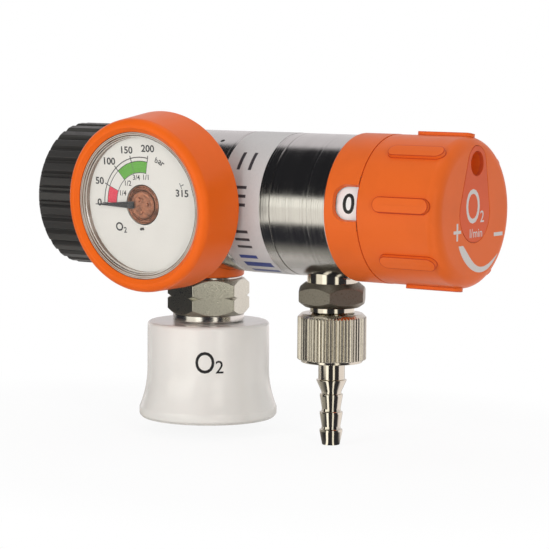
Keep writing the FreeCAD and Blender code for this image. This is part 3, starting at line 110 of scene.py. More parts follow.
class RegulatorSizes(bpy.types.PropertyGroup):
    body_radius: length("Body radius", "Radius of both turned bodies", 23.5)
    body_chamfer: length("Body chamfer", "Chamfer at the ends of the turned bodies", 0.7)
    rib_count: number("Ribs", "Ribs round the inlet handwheel", 30, 3)
    rib_height: length("Rib height", "Height of a rib over the handwheel's root", 1.7)
    ring_radius: length("Ring radius", "Radius of the ring that holds the window", 24.2)
    window_half: length("Window half height", "Half the height of the window, at the drum", 5.15)
    window_reach: length("Window reach", "From the ring's free edge to the window's closed end", 8.8)
    window_corner: length("Window corner", "Radius of the window's rounded corners", 4.0)
    knob_radius: length("Knob radius", "Radius of the flow knob between its grips", 24.1)
    knob_rounding: length("Knob rounding", "Rounding between the knob's side and its face", 4.2)
    grip_count: number("Grips", "Raised grips round the flow knob", 8, 2)
    grip_length: length("Grip length", "Length of a raised grip", 20.2)
    grip_width: length("Grip width", "Width of a raised grip", 4.8)
    grip_height: length("Grip height", "Height of a raised grip over the knob", 1.2)
    grip_gap: length("Grip gap", "From the knob's face to the end of a grip", 2.6)
    cover_rounding: length("Cover rounding", "Rounding of the gauge cover's front edge", 2.6)
    bezel_radius: length("Bezel radius", "Radius of the opening in the gauge cover", 24.3)
    pointer_length: length("Pointer length", "Distance of the pointer's tip from the dial's middle", 18.9)
    coupling_flats: length("Coupling flats", "Width across the flats of the coupling's hexagon", 24.5)
    sleeve_radius: length("Sleeve radius", "Radius of the release sleeve's straight wall", 20.8)
    sleeve_flare: length("Sleeve flare", "Radius of the release sleeve's foot", 23.5)
    sleeve_rounding: length("Sleeve rounding", "Rounding of the release sleeve's top edge", 1.2)
    outlet_flats: length("Outlet flats", "Width across the flats of the outlet's hexagon", 21.2)
    knurl_count: number("Knurls", "Ridges round the union nut", 58, 12)
    knurl_depth: length("Knurl depth", "Depth of the grooves round the union nut", 0.5)
    barb_count: number("Barbs", "Barbs on the hose tail", 3, 1)


class RegulatorColours(bpy.types.PropertyGroup):
    knob_orange: tint("Knob orange", "Plastic of the knob, window ring and collar", (0.77, 0.135, 0.018))
    cover_orange: tint("Cover orange", "Plastic of the gauge cover", (0.86, 0.135, 0.008))
    # Painted shade: a darker copy of the knob's orange, laid on strips in the creases round the grips and at
    # the knob's seam, where shade falls
    shade_orange: tint("Shaded orange", "Creases round the grips and the knob's seam", (0.50, 0.050, 0.008))
    plate_orange: tint("Face plate", "Plastic of the plate in the knob's face", (0.70, 0.105, 0.030))
    sleeve_white: tint("Sleeve white", "Plastic of the release sleeve", (0.85, 0.835, 0.785))
    drum_white: tint("Drum white", "Plastic of the number drum", (0.88, 0.86, 0.84))
    dial_white: tint("Dial white", "Paint of the gauge's dial", (0.74, 0.72, 0.66))
    grip_black: tint("Grip black", "Rubber of the inlet handwheel", (0.045, 0.044, 0.042))
    bright_nickel: tint("Bright nickel", "Plated turned metal", (0.66, 0.64, 0.61))
    body_metal: tint("Body metal", "Turned metal of the two bodies", (0.60, 0.59, 0.58))
    dull_nickel: tint("Dull nickel", "Flats of the coupling's hexagon", (0.60, 0.585, 0.51))
    olive_nickel: tint("Olive nickel", "Flats of the outlet's hexagon", (0.34, 0.315, 0.27))
    warm_nickel: tint("Warm nickel", "Plating of the hose outlet", (0.66, 0.62, 0.54))
    bronze: tint("Bronze", "Capsule of the gauge's movement", (0.42, 0.17, 0.09))
    ink_black: tint("Black ink", "Print on the dial, drum and sleeve", (0.012, 0.012, 0.013))
    ink_pale: tint("Pale ink", "Print on the knob's face", (0.62, 0.58, 0.55))
    zone_green: tint("Green zone", "Full zone of the dial", (0.105, 0.36, 0.035))
    zone_red: tint("Red zone", "Empty zone of the dial", (0.70, 0.045, 0.08))
    stripe_blue: tint("Blue stripe", "Blue stripes of the label band", (0.02, 0.045, 0.22))
    stripe_grey: tint("Grey stripe", "Grey stripes of the label band", (0.05, 0.045, 0.05))
    label_film: tint("Label film", "Pale film of the label band", (0.56, 0.55, 0.54))


def size(name):
    """A size of the regulator, in millimetres."""
    value = getattr(bpy.context.scene.regulator_sizes, name)
    return value if isinstance(value, int) else value / MM


def colour(name):
    """A colour of the regulator, with its alpha."""
    return (*getattr(bpy.context.scene.regulator_colours, name), 1.0)


def shifted(tone, factor, lift=0.0):
    """A colour made darker or lighter."""
    return (*(min(part * factor + lift, 1.0) for part in tone[:3]), 1.0)


# Shader maths

def maths(operation, first=True):
    """A method that puts a value through one step of shader maths."""

    def step(self, *others):
        values = [self, *others] if first else [*others, self]
        return self.tree.node("ShaderNodeMath", {"operation": operation}, dict(enumerate(values)))

    return step


class Value:
    """A socket of a node tree that takes part in Python expressions."""

    def __init__(self, tree, socket):
        self.tree = tree
        self.socket = socket

    __add__ = __radd__ = maths("ADD")
    __sub__ = maths("SUBTRACT")
    __rsub__ = maths("SUBTRACT", first=False)
    __mul__ = __rmul__ = maths("MULTIPLY")
    __truediv__ = maths("DIVIDE")
    __pow__ = maths("POWER")
    __abs__ = maths("ABSOLUTE")
    over = maths("GREATER_THAN")
    under = maths("LESS_THAN")
    largest = maths("MAXIMUM")
    arctangent = maths("ARCTAN2")
    arcsine = maths("ARCSINE")

    def ramp(self, low, high):
        """Runs smoothly from 0 at low to 1 at high."""
        settings = {"interpolation_type": "SMOOTHSTEP"}
        return self.tree.node("ShaderNodeMapRange", settings, {0: self, 1: low, 2: high, 3: 0.0, 4: 1.0})

    def between(self, low, high, edge=4.0):
        """Runs smoothly from 0 to 1 at low and back to 0 at high."""
        return self.ramp(low - edge, low + edge) * (1 - self.ramp(high - edge, high + edge))


class Tree:
    """A node tree under construction; node() makes every node."""

    def __init__(self, owner):
        owner.use_nodes = True
        self.tree = owner.node_tree
        self.tree.nodes.clear()

    def node(self, kind, settings=None, inputs=None, output=0):
        node = self.tree.nodes.new(kind)
        for name, value in (settings or {}).items():
            setattr(node, name, value)
        for name, value in (inputs or {}).items():
            if isinstance(value, Value):
                self.tree.links.new(value.socket, node.inputs[name])
            else:
                node.inputs[name].default_value = value
        return Value(self, node.outputs[output])

    def place(self):
        """Position on the piece, which moves with it, in metres."""
        return self.node("ShaderNodeTexCoord", output="Object")

    def parts(self, vector):
        """The x, y and z of a vector."""
        node = self.node("ShaderNodeSeparateXYZ", None, {0: vector}).socket.node
        return [Value(self, socket) for socket in node.outputs]

    def noise(self, scale, detail, vector=None, roughness=0.55):
        """Smooth noise from 0 to 1; scale is in waves per millimetre."""
        inputs = {
            "Vector": self.place() if vector is None else vector,
            "Scale": scale / MM,
            "Detail": detail,
            "Roughness": roughness,
        }
        return self.node("ShaderNodeTexNoise", None, inputs)

    def mix(self, low, high, factor):
        """Colours mixed by a factor."""
        settings = {"data_type": "RGBA", "clamp_factor": True}
        return self.node("ShaderNodeMix", settings, {0: factor, 6: low, 7: high}, output=2)

    def bump(self, height, depth):
        """A normal bent by a height map; depth is in millimetres."""
        return self.node("ShaderNodeBump", None, {"Height": height, "Distance": depth * MM, "Strength": 1.0})

    def shaded(self, **inputs):
        """A Principled shader; an input's underscores stand for spaces."""
        named = {key.replace("_", " "): value for key, value in inputs.items()}
        return self.node("ShaderNodeBsdfPrincipled", None, named)

    def finish(self, shader, kind="ShaderNodeOutputMaterial"):
        node = self.tree.nodes.new(kind)
        self.tree.links.new(shader.socket, node.inputs["Surface"])


# Finishes

def moulded(tree, tone, roughness=0.36):
    """Injection-moulded plastic: faint clouding, a fine satin grain and light handling marks."""
    base = colour(tone)
    cloud = tree.noise(0.05, 4.0)
    speck = tree.noise(1.3, 2.0)
    stretch = {0: tree.place(), 1: (1.0, 0.25, 0.6)}
    across = tree.node("ShaderNodeVectorMath", {"operation": "MULTIPLY"}, stretch)
    marks = tree.noise(0.35, 6.0, across)
    shade = tree.mix(base, shifted(base, 0.78), (1 - cloud).ramp(0.42, 0.75) * 0.3)
    shade = tree.mix(shade, shifted(base, 1.12, 0.008), marks.ramp(0.6, 0.8) * 0.2)
    rough = roughness + (marks - 0.5) * 0.16 + (speck - 0.5) * 0.06
    normal = tree.bump(tree.noise(3.2, 2.0) + cloud * 0.5, 0.010)
    return tree.shaded(Base_Color=shade, Roughness=rough, Normal=normal, IOR=1.42, Specular_IOR_Level=0.3)


def turned_metal(tree, tone, axis, roughness, lines, pitch, haze=0.10, grey=0.35, streak=0.10):
    """Turned and plated metal: fine rings left by the tool round its axis, with a cloudy haze of handling."""
    base = colour(tone)
    along = tree.parts(tree.place())["XYZ".index(axis)]
    wobble = tree.noise(0.02, 2.0)
    inputs = {0: along * pitch + wobble * MM * 0.05, 1: wobble * MM * 0.1, 2: 0.0}
    line = tree.node("ShaderNodeCombineXYZ", None, inputs)
    fine = tree.noise(1.0, 4.0, line, 0.7)
    broad = tree.noise(0.22, 2.0, line, 0.5)
    cloud = tree.noise(0.07, 5.0)
    smear = tree.noise(0.5, 3.0)
    shade = tree.mix(base, shifted(base, grey), fine.ramp(0.52, 0.8) * 0.35 + cloud.ramp(0.55, 0.8) * 0.2)
    rough = roughness + cloud.ramp(0.4, 0.8) * haze + (smear - 0.5) * 0.04 + (fine - 0.5) * streak
    normal = tree.bump(fine + broad * 0.8, lines)
    return tree.shaded(Base_Color=shade, Metallic=1.0, Roughness=rough, Normal=normal)


def plated(tree, tone, roughness, pits=0.02, scale=2.4, haze=0.12):
    """Plated metal with an orange-peel grain, as on wrench flats and knurls."""
    base = colour(tone)
    grain = tree.noise(scale, 3.0, None, 0.7)
    cloud = tree.noise(0.12, 4.0)
    shade = tree.mix(base, shifted(base, 0.45), grain.ramp(0.5, 0.72) * 0.55 + cloud.ramp(0.55, 0.85) * 0.15)
    rough = roughness + grain.ramp(0.35, 0.75) * haze + (cloud - 0.5) * 0.08
    return tree.shaded(Base_Color=shade, Metallic=1.0, Roughness=rough, Normal=tree.bump(grain, pits))


def rubber(tree, tone):
    """Hard black rubber: dull, a little dusty, with a fine moulded grain."""
    dust = tree.noise(0.4, 6.0, None, 0.65)
    grain = tree.noise(2.6, 3.0)
    shade = tree.mix(colour(tone), (0.05, 0.048, 0.046, 1.0), dust.ramp(0.5, 0.8) * 0.55)
    rough = 0.32 + dust.ramp(0.35, 0.8) * 0.2
    return tree.shaded(Base_Color=shade, Roughness=rough, Normal=tree.bump(grain, 0.02), IOR=1.5)


def ink(tree, tone, roughness=0.45):
    """Pad-printed ink with slightly uneven cover."""
    base = colour(tone)
    cover = tree.noise(2.0, 3.0)
    shade = tree.mix(base, shifted(base, 1.15, 0.015), cover.ramp(0.5, 0.75) * 0.6)
    return tree.shaded(Base_Color=shade, Roughness=roughness + (cover - 0.5) * 0.1)


def painted(tree, tone, roughness, coat=0.0):
    """Smooth white paint or plastic with very faint clouding."""
    base = colour(tone)
    cloud = tree.noise(0.09, 4.0)
    grain = tree.noise(4.0, 2.0)
    shade = tree.mix(base, shifted(base, 0.93), cloud.ramp(0.4, 0.8) * 0.6)
    rough = roughness + (grain - 0.5) * 0.08
    normal = tree.bump(grain, 0.004)
    coated = {"Coat_Weight": coat, "Coat_Roughness": 0.06}
    return tree.shaded(Base_Color=shade, Roughness=rough, Normal=normal, **coated)


def striped(tree, tone):
    """Printed film: plain blue and grey bars at angles round the body and shares of the film's width."""
    x, y, z = tree.parts(tree.place())
    angle = z.arctangent(-1.0 * y) * (180 / math.pi)
    film = colour(tone)
    grain = tree.noise(1.4, 4.0, None, 0.7)
    shade = tree.mix(film, shifted(film, 0.86), grain.ramp(0.4, 0.75) * 0.5)
    across = (x / MM - LABEL_START) / (LABEL_END - LABEL_START)
    bars = [(-72, -66, 0.22, 0.90, "stripe_blue"), (-60, -53, 0.22, 0.90, "stripe_blue"),
            (-48, -44, 0.22, 0.66, "stripe_blue"), (30, 47, 0.30, 0.38, "stripe_grey"),
            (30, 47, 0.58, 0.66, "stripe_grey")]
    bars += [(low, low + 2.5, 0.30, 0.66, "stripe_grey") for low in (-36, -29, -22, 0, 7, 14)]
    for low, high, left, right, bar in bars:
        inside = angle.over(low) * angle.under(high) * across.over(left) * across.under(right)
        shade = tree.mix(shade, colour(bar), inside)
    normal = tree.bump(grain, 0.006)
    return tree.shaded(Base_Color=shade, Roughness=0.34 + (grain - 0.5) * 0.12, Normal=normal)


def smoky(tree):
    """The lens's rim, brown behind the clear plastic, with thin pale rings painted in as highlights."""
    x, y, z = tree.parts(tree.place())
    across = x / MM - GAUGE_X
    along = z / MM * (1 / math.cos(GAUGE_LEAN)) + (y / MM - DIAL_Y) * -math.tan(GAUGE_LEAN)
    radius = (across ** 2 + along ** 2) ** 0.5
    cloud = tree.noise(0.08, 2.0)
    shade = tree.mix((0.17, 0.105, 0.07, 1.0), (0.36, 0.30, 0.25, 1.0), cloud.ramp(0.35, 0.7))
    # Thin pale rings at these radii are painted highlights
    for line in (22.45, 23.0, 23.55, 24.05):
        shade = tree.mix(shade, (0.62, 0.57, 0.50, 1.0), abs(radius - line).under(0.09))
    return tree.shaded(Base_Color=shade, Roughness=0.16 + cloud * 0.06, Coat_Weight=0.5, Coat_Roughness=0.05)


def clear(tree):
    """Clear plastic with faint smudges."""
    rough = 0.01 + tree.noise(0.12, 4.0).ramp(0.5, 0.8) * 0.02
    return tree.shaded(Base_Color=WHITE, Roughness=rough, Transmission_Weight=1.0, IOR=1.3)


def stained(tree, tone):
    """Bronze with dark stains."""
    base = colour(tone)
    stain = tree.noise(0.35, 5.0, None, 0.65)
    spot = tree.noise(1.1, 3.0)
    shade = tree.mix(base, shifted(base, 0.32), stain.ramp(0.42, 0.68) * 0.8 + spot.ramp(0.6, 0.8) * 0.4)
    rough = 0.34 + stain * 0.25
    return tree.shaded(Base_Color=shade, Metallic=0.85, Roughness=rough, Normal=tree.bump(stain + spot, 0.05))


def seen_by(tree):
    """Whether a ray comes from the camera, a mirror or the lens, leaving out light that the dial gathers."""
    camera, glossy, through, scattered = (
        tree.node("ShaderNodeLightPath", output=name)
        for name in ("Is Camera Ray", "Is Glossy Ray", "Is Transmission Ray", "Diffuse Depth")
    )
    direct = scattered.under(0.5)
    return camera, glossy * direct, through * direct


def paper(tree):
    """White paper floor; to mirror rays it shows painted reflections instead, dark with glowing and grey
    patches by place, which the outlet's metal mirrors.
    """
    camera, glossy, through = seen_by(tree)
    x, y = tree.parts(tree.place())[:2]
    shade = tree.mix((0.90, 0.90, 0.90, 1.0), (0.94, 0.94, 0.94, 1.0), tree.noise(0.004, 3.0))
    along = x / MM - OUTLET_X
    away = y / MM
    turn = along.arctangent(-1.0 * away) * (180 / math.pi)
    reach = (along ** 2 + away ** 2) ** 0.5
    near = away.ramp(-62.0, -24.0) * (1 - along.ramp(-30.0, -5.0)) * (1 - reach.ramp(170.0, 260.0))
    right = along.over(0.0)
    # Painted reflections: glowing patches and a grey patch of painted shade on the floor, seen only by mirror
    # rays
    painted_reflections = [
        ((0.40, 0.385, 0.34), near),
        ((1.15, 1.10, 0.98), turn.between(-44.0, 4.0) * (1 - away.ramp(-195.0, -130.0))),
        ((1.7, 1.65, 1.5), turn.between(-13.0, 7.0, 2.5)),
        ((1.4, 1.34, 1.18), turn.between(46.0, 60.0, 2.5)),
        ((0.60, 0.57, 0.55), away.ramp(-10.0, 20.0) * along.under(0.0) * reach.under(420.0)),
        ((1.1, 1.03, 1.01), (away - along * 0.14).ramp(0.0, 12.0) * right),
        ((1.15, 1.08, 1.06), away.ramp(160.0, 300.0)),
    ]
    seen = (0.035, 0.035, 0.04, 1.0)
    for tone, place in painted_reflections:
        seen = tree.mix(seen, (*tone, 1.0), place)
    glow = tree.mix(seen, WHITE, camera.largest(through))
    matt = tree.node("ShaderNodeBsdfDiffuse", None, {"Color": shade, "Roughness": 0.5})
    light = tree.node("ShaderNodeEmission", None, {"Color": glow, "Strength": 1.0})
    across = ((x / MM - 70.0) / 190.0) ** 2 + ((y / MM + 10.0) / 150.0) ** 2
    share = glossy.largest(across.ramp(0.35, 1.0) * 0.1 + 0.9) * camera.largest(glossy).largest(through)
    return tree.node("ShaderNodeMixShader", None, {0: share, 1: matt, 2: light})


FINISHES = {
    "knob_plastic": (moulded, "knob_orange"),
    "shaded_plastic": (moulded, "shade_orange"),
    "cover_plastic": (moulded, "cover_orange", 0.34),
    "plate_plastic": (moulded, "plate_orange", 0.42),
    "body_metal": (turned_metal, "body_metal", "X", 0.16, 0.06, 1.3, 0.04, 0.35, 0.65),
    "inlet_metal": (turned_metal, "bright_nickel", "X", 0.14, 0.006, 2.0),
    "nut_metal": (turned_metal, "warm_nickel", "X", 0.22, 0.010, 1.2),
    "coupling_metal": (turned_metal, "bright_nickel", "Z", 0.14, 0.008, 1.6),
    "tail_metal": (turned_metal, "warm_nickel", "Z", 0.10, 0.004, 1.4, 0.05, 0.5),
    "knurl_metal": (turned_metal, "warm_nickel", "Z", 0.16, 0.003, 0.5, 0.08, 0.6),
    "dull_flats": (plated, "dull_nickel", 0.27, 0.014, 2.2, 0.08),
    "olive_flats": (plated, "olive_nickel", 0.46, 0.006, 1.8, 0.06),
    "spring_wire": (plated, "bright_nickel", 0.24, 0.01, 1.6),
    "ball_steel": (plated, "bright_nickel", 0.1, 0.002, 0.8, 0.05),
    "plain_brass": (plated, "warm_nickel", 0.28),
    "piston_metal": (plated, "body_metal", 0.26),
    "sintered_metal": (plated, "bronze", 0.5, 0.06, 1.2),
    "case_steel": (plated, "body_metal", 0.3),
    "screw_steel": (plated, "body_metal", 0.3),
    "bronze_capsule": (stained, "bronze"),
    "wheel_rubber": (rubber, "grip_black"),
    "seal_rubber": (rubber, "grip_black"),
    "vent_filter_mesh": (rubber, "grip_black"),
    "drum_plastic": (painted, "drum_white", 0.35),
    "seat_polymer": (painted, "drum_white", 0.45),
    "dial_paint": (painted, "dial_white", 0.42),
    "sleeve_plastic": (painted, "sleeve_white", 0.24, 0.45),
    "label_print": (striped, "label_film"),
    "smoky_rim": (smoky,),
    "clear_window": (clear,),
    "black_ink": (ink, "ink_black"),
    "pale_ink": (ink, "ink_pale"),
    "green_ink": (ink, "zone_green"),
    "red_ink": (ink, "zone_red"),
    "pointer_paint": (ink, "ink_black", 0.35),
    "white_floor": (paper,),
}


def wear(piece, name):
    """Gives a piece the named finish, which is built once."""
    material = bpy.data.materials.get(name)
    if material is None:
        material = bpy.data.materials.new(name)
        tree = Tree(material)
        build, *values = FINISHES[name]
        tree.finish(build(tree, *values))
    piece.data.materials.clear()
    piece.data.materials.append(material)


# Outlines and meshes

def soften(points, steps=None, closed=True, coarse=11.0):
    """An array of (station, radius) from an outline's (station, radius, rounding) points."""
    result = []
    count = len(points)
    roundings = [point[2] if len(point) > 2 else 0.0 for point in points]
    for index, point in enumerate(points):
        here = np.array(point[:2], float)
        rounding = roundings[index]
        if rounding <= 0.0 or (not closed and index in (0, count - 1)):
            result.append(here)
            continue
        follow = (index + 1) % count
        before = np.array(points[index - 1][:2], float) - here
        after = np.array(points[follow][:2], float) - here
        share_before = 0.99 * rounding / (rounding + roundings[index - 1])
        share_after = 0.99 * rounding / (rounding + roundings[follow])
        reach_before = max(np.linalg.norm(before), 1e-9)
        reach_after = max(np.linalg.norm(after), 1e-9)
        before = before / reach_before
        after = after / reach_after
        half = math.acos(float(np.clip(before @ after, -1.0, 1.0))) / 2
        half = min(max(half, 0.02), math.pi / 2 - 0.004)
        reach = min(rounding / math.tan(half), share_before * reach_before, share_after * reach_after)
        middle = before + after
        middle = middle / max(np.linalg.norm(middle), 1e-9)
        centre = here + middle * reach / math.cos(half)
        first = here + before * reach - centre
        last = here + after * reach - centre
        start = math.atan2(first[1], first[0])
        sweep = (math.atan2(last[1], last[0]) - start + math.pi) % TURN - math.pi
        parts = steps or max(2, math.ceil(math.degrees(abs(sweep)) / coarse))
        radius = np.linalg.norm(first)
        for step in range(parts + 1):
            angle = start + sweep * step / parts
            result.append(centre + radius * np.array([math.cos(angle), math.sin(angle)]))
    return np.array(result)


def along_body(station, radius, angle):
    """A point round the body's axis; the angle runs from -Y towards +Z."""
    return station, -radius * np.cos(angle), radius * np.sin(angle)


def upright(x):
    """Points round a vertical axis; the angle runs from -Y towards +X."""

    def place(station, radius, angle):
        return x + radius * np.sin(angle), -radius * np.cos(angle), station

    return place


def on_dial(x, y, height):
    """A point over the dial: x to the right, y up the dial, and the height out of its face."""
    cosine = math.cos(GAUGE_LEAN)
    sine = math.sin(GAUGE_LEAN)
    return GAUGE_X + x, DIAL_Y - height * cosine - y * sine, y * cosine - height * sine


def round_gauge(station, radius, angle):
    """A point round the gauge's axis; the angle runs from the dial's right towards its top."""
    return on_dial(radius * np.cos(angle), radius * np.sin(angle), station)


def laid(place, station, radius, angle):
    """The points of a place function, from numbers or arrays, as one array."""
    return np.stack(np.broadcast_arrays(*place(station, radius, angle)), -1)


def polar(points):
    """Angles and radii of flat points."""
    return np.arctan2(points[:, 1], points[:, 0]), np.hypot(points[:, 0], points[:, 1])


def linked(name, data):
    """An object in the scene."""
    piece = bpy.data.objects.new(name, data)
    bpy.context.scene.collection.objects.link(piece)
    return piece


def evaluated(piece):
    """The piece's mesh as it is after its modifiers."""
    graph = bpy.context.evaluated_depsgraph_get()
    graph.update()
    return bpy.data.meshes.new_from_object(piece.evaluated_get(graph))


def piece_of(name, points, faces, sharp=32.0):
    """A mesh object from points in millimetres, with its faces turned outward and its creases kept."""
    mesh = bpy.data.meshes.new(name)
    mesh.from_pydata((np.asarray(points, float) * MM).tolist(), [], faces)
    work = bmesh.new()
    work.from_mesh(mesh)
    bmesh.ops.remove_doubles(work, verts=work.verts, dist=1e-7)
    bmesh.ops.dissolve_degenerate(work, edges=work.edges, dist=1e-8)
    bmesh.ops.recalc_face_normals(work, faces=work.faces)
    work.to_mesh(mesh)
    work.free()
    piece = linked(name, mesh)
    crease(piece, sharp)
    return piece


def crease(piece, sharp=32.0):
    """Shades smooth up to an angle, with normals weighted by area so that flats stay flat."""
    piece.data.shade_smooth()
    piece.data.set_sharp_from_angle(angle=math.radians(sharp))
    weighted = piece.modifiers.new("normals", "WEIGHTED_NORMAL")
    weighted.keep_sharp = True
    weighted.weight = 60
    settle(piece)


def settle(piece):
    """Applies the piece's modifiers."""
    mesh = evaluated(piece)
    piece.modifiers.clear()
    piece.data = mesh
    mesh.name = piece.name


def net_faces(rows, columns, wrap_rows, wrap_columns):
    """Quads over a net of points."""
    faces = []
    for row in range(rows if wrap_rows else rows - 1):
        below = row * columns
        above = (row + 1) % rows * columns
        for column in range(columns if wrap_columns else columns - 1):
            side = (column + 1) % columns
            faces.append((below + column, below + side, above + side, above + column))
    return faces


def net(name, grid, wrap_rows=True, wrap_columns=True, sharp=32.0):
    """A mesh over an array of points by row and column."""
    rows, columns = grid.shape[:2]
    return piece_of(name, grid.reshape(-1, 3), net_faces(rows, columns, wrap_rows, wrap_columns), sharp)


def turned(name, outline, place=along_body, columns=180, closed=True, coarse=11.0, thread=None):
    """A piece turned from an outline; thread may change the radius by station and angle."""
    ring = soften(outline, closed=closed, coarse=coarse)
    angles = np.linspace(0, TURN, columns, endpoint=False)
    station = np.repeat(ring[:, :1], columns, 1)
    radius = np.repeat(ring[:, 1:], columns, 1)
    angle = np.repeat(angles[None, :], len(ring), 0)
    if thread is not None:
        radius = thread(station, radius, angle)
    return net(name, laid(place, station, radius, angle), closed)


def shaped(name, angles, outline_at, place, steps=4, sharp=32.0):
    """A piece whose outline changes round its axis: outline_at gives the outline for a column's number."""
    rings = [soften(outline_at(column), steps) for column in range(len(angles))]
    grid = np.stack([laid(place, ring[:, 0], ring[:, 1], angle) for angle, ring in zip(angles, rings)], 1)
    return net(name, grid, True, True, sharp)


def threaded(mark, low, high, pitch, crest, depth, gain, lag):
    """A thread cut between two stations, wherever an outline has the radius mark."""

    def thread(station, radius, angle):
        wave = np.abs((station / pitch - angle / TURN) % 1.0 - 0.5) * 2
        inside = (np.abs(radius - mark) < 1e-6) & (station > low) & (station < high)
        return np.where(inside, crest + depth * np.clip(wave * gain - lag, 0, 1), radius)

    return thread


def toothed(count, teeth):
    """Angles and radii round a toothed outline, from each tooth's (share of the pitch, radius, rounding)."""
    outline = []
    for tooth in range(count):
        for share, radius, rounding in teeth:
            angle = (tooth + share) * TURN / count
            outline.append((radius * math.cos(angle), radius * math.sin(angle), rounding))
    return polar(soften(outline, 3))


def hexagon_piece(name, flats, turn, x, rounding, outline_at):
    """A hexagonal piece on a vertical axis; outline_at gives the profile for the radius of a column."""
    flat_steps, corner_steps = 8, 4
    corner = 1 / math.cos(math.pi / 6)
    corners = [(math.cos(turn + TURN * side / 6) * corner, math.sin(turn + TURN * side / 6) * corner,
                rounding * 2 / flats) for side in range(6)]
    rounded = soften(corners, corner_steps)
    points = []
    for index, point in enumerate(rounded):
        points.append(point)
        if index % (corner_steps + 1) == corner_steps:
            follow = rounded[(index + 1) % len(rounded)]
            points += [point + (follow - point) * step / flat_steps for step in range(1, flat_steps)]
    angles, radii = polar(np.array(points))
    return shaped(name, angles, lambda column: outline_at(radii[column] * flats / 2), upright(x), 3)


def cut(piece, cutter):
    """Cuts one closed mesh out of another."""
    modifier = piece.modifiers.new("cut", "BOOLEAN")
    modifier.operation = "DIFFERENCE"
    modifier.solver = "EXACT"
    modifier.object = cutter
    settle(piece)
    bpy.data.objects.remove(cutter)
    crease(piece)


def dress(piece, body, finish, slot, *nodes):
    """Gives a piece its finish, its body and the nodes that it stands for."""
    wear(piece, finish)
    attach(piece, body)
    if nodes:
        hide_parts(*nodes)


def lettering(name, text, height, place, width=1.0, weight=0.0, dice=0.0, turn=0.0):
    """Text as a mesh laid through place(x, y), its strokes thickened by a share of its height.

    dice is the width of its strips where it bends.
    """
    curve = bpy.data.curves.new(name, "FONT")
    curve.body = text
    curve.align_x = "CENTER"
    curve.align_y = "CENTER"
    curve.size = height * 1.4
    curve.offset = weight * height
    curve.resolution_u = 4
    holder = linked(name + "_outline", curve)
    mesh = evaluated(holder)
    bpy.data.objects.remove(holder)
    bpy.data.curves.remove(curve)
    work = bmesh.new()
    work.from_mesh(mesh)
    bmesh.ops.remove_doubles(work, verts=work.verts, dist=1e-5)
    xs = [vertex.co.x for vertex in work.verts]
    ys = [vertex.co.y for vertex in work.verts]
    scale = height / (max(ys) - min(ys))
    middle = ((max(xs) + min(xs)) / 2, (max(ys) + min(ys)) / 2)
    cosine = math.cos(turn)
    sine = math.sin(turn)
    for vertex in work.verts:
        x = (vertex.co.x - middle[0]) * scale * width
        y = (vertex.co.y - middle[1]) * scale
        vertex.co = (x * cosine - y * sine, x * sine + y * cosine, 0.0)
    for axis, normal in enumerate((Vector((1, 0, 0)), Vector((0, 1, 0)))):
        low = min(vertex.co[axis] for vertex in work.verts)
        high = max(vertex.co[axis] for vertex in work.verts)
        spot = low + dice if dice > 0 else high
        while spot < high:
            geometry = work.verts[:] + work.edges[:] + work.faces[:]
            bmesh.ops.bisect_plane(work, geom=geometry, plane_co=normal * spot, plane_no=normal)
            spot += dice
    for vertex in work.verts:
        vertex.co = Vector([float(part) * MM for part in place(vertex.co.x, vertex.co.y)])
    work.to_mesh(mesh)
    work.free()
    mesh.name = name
    return linked(name, mesh)


def joined(name, pieces):
    """Several pieces as one object."""
    work = bmesh.new()
    for piece in pieces:
        work.from_mesh(piece.data)
    mesh = bpy.data.meshes.new(name)
    work.to_mesh(mesh)
    work.free()
    for piece in pieces:
        bpy.data.objects.remove(piece)
    return linked(name, mesh)


def obround(length, width, arc=12, straight=6):
    """Points round an obround that lies along x, about the origin."""
    half = length / 2 - width / 2
    points = []
    for side, middle in ((1, half), (-1, -half)):
        for step in range(arc + 1):
            angle = -math.pi / 2 + math.pi * step / arc
            points.append((middle + side * width / 2 * math.cos(angle), side * width / 2 * math.sin(angle)))
        for step in range(1, straight):
            points.append((middle - side * 2 * half * step / straight, side * width / 2))
    return points


# Pieces

class PieceOperator:
    """What the operators of this file share."""

    bl_options = {"REGISTER", "UNDO"}

    def execute(self, context):
        self.build()
        return {"FINISHED"}


class REGULATOR_OT_handwheel(PieceOperator, bpy.types.Operator):
    """Ribbed inlet handwheel and the threaded union nut inside it"""

    bl_idname = "regulator.handwheel"
    bl_label = "Inlet handwheel"

    def build(self):
        start, end = -10.0, 20.0
        crest = 24.6
        root = crest - size("rib_height")
        lip, core_radius, bore_radius = 12.96, 16.2, 12.3
        angles, radii = toothed(size("rib_count"), (
            (-0.26, crest, 0.45), (0.26, crest, 0.45), (0.40, root, 0.25), (0.60, root, 0.25),
        ))

        def outline_at(column):
            radius = min(radii[column], crest)
            edge = min(radius, crest - 1.6)
            slope = max(radius - edge, 0.02)
            return [
                (start, lip, 0.3), (start, edge, 0.5), (start + slope, radius, 0.5),
                (end - slope, radius, 0.5), (end, edge, 0.5), (end, 11.0, 0.3), (end - 1.0, 11.0),
                (end - 1.0, core_radius + 0.05), (start + 1.0, core_radius + 0.05), (start + 1.0, lip),
            ]

        grip = shaped("wheel_grip", angles, outline_at, along_body, 3)
        dress(grip, "handwheel", "wheel_rubber", "black_grip", "handwheel_grip")
        bore = [(station, bore_radius) for station in np.arange(-8.1, -0.05, 0.15)[::-1]]
        thread = threaded(bore_radius, -8.0, -0.1, 1.814, 12.06, 0.95, 1.2, 0.1)
        core = turned("union_nut_core", [
            (-9.0, 13.1, 0.1), (-9.0, core_radius), (19.0, core_radius), (19.0, 8.05, 0.2), (15.0, 8.05, 0.2),
            (15.0, 12.9), (0.0, 12.9), *bore,
        ], along_body, 144, thread=thread)
        dress(core, "handwheel", "nut_metal", "nickel_plate", "handwheel_core")


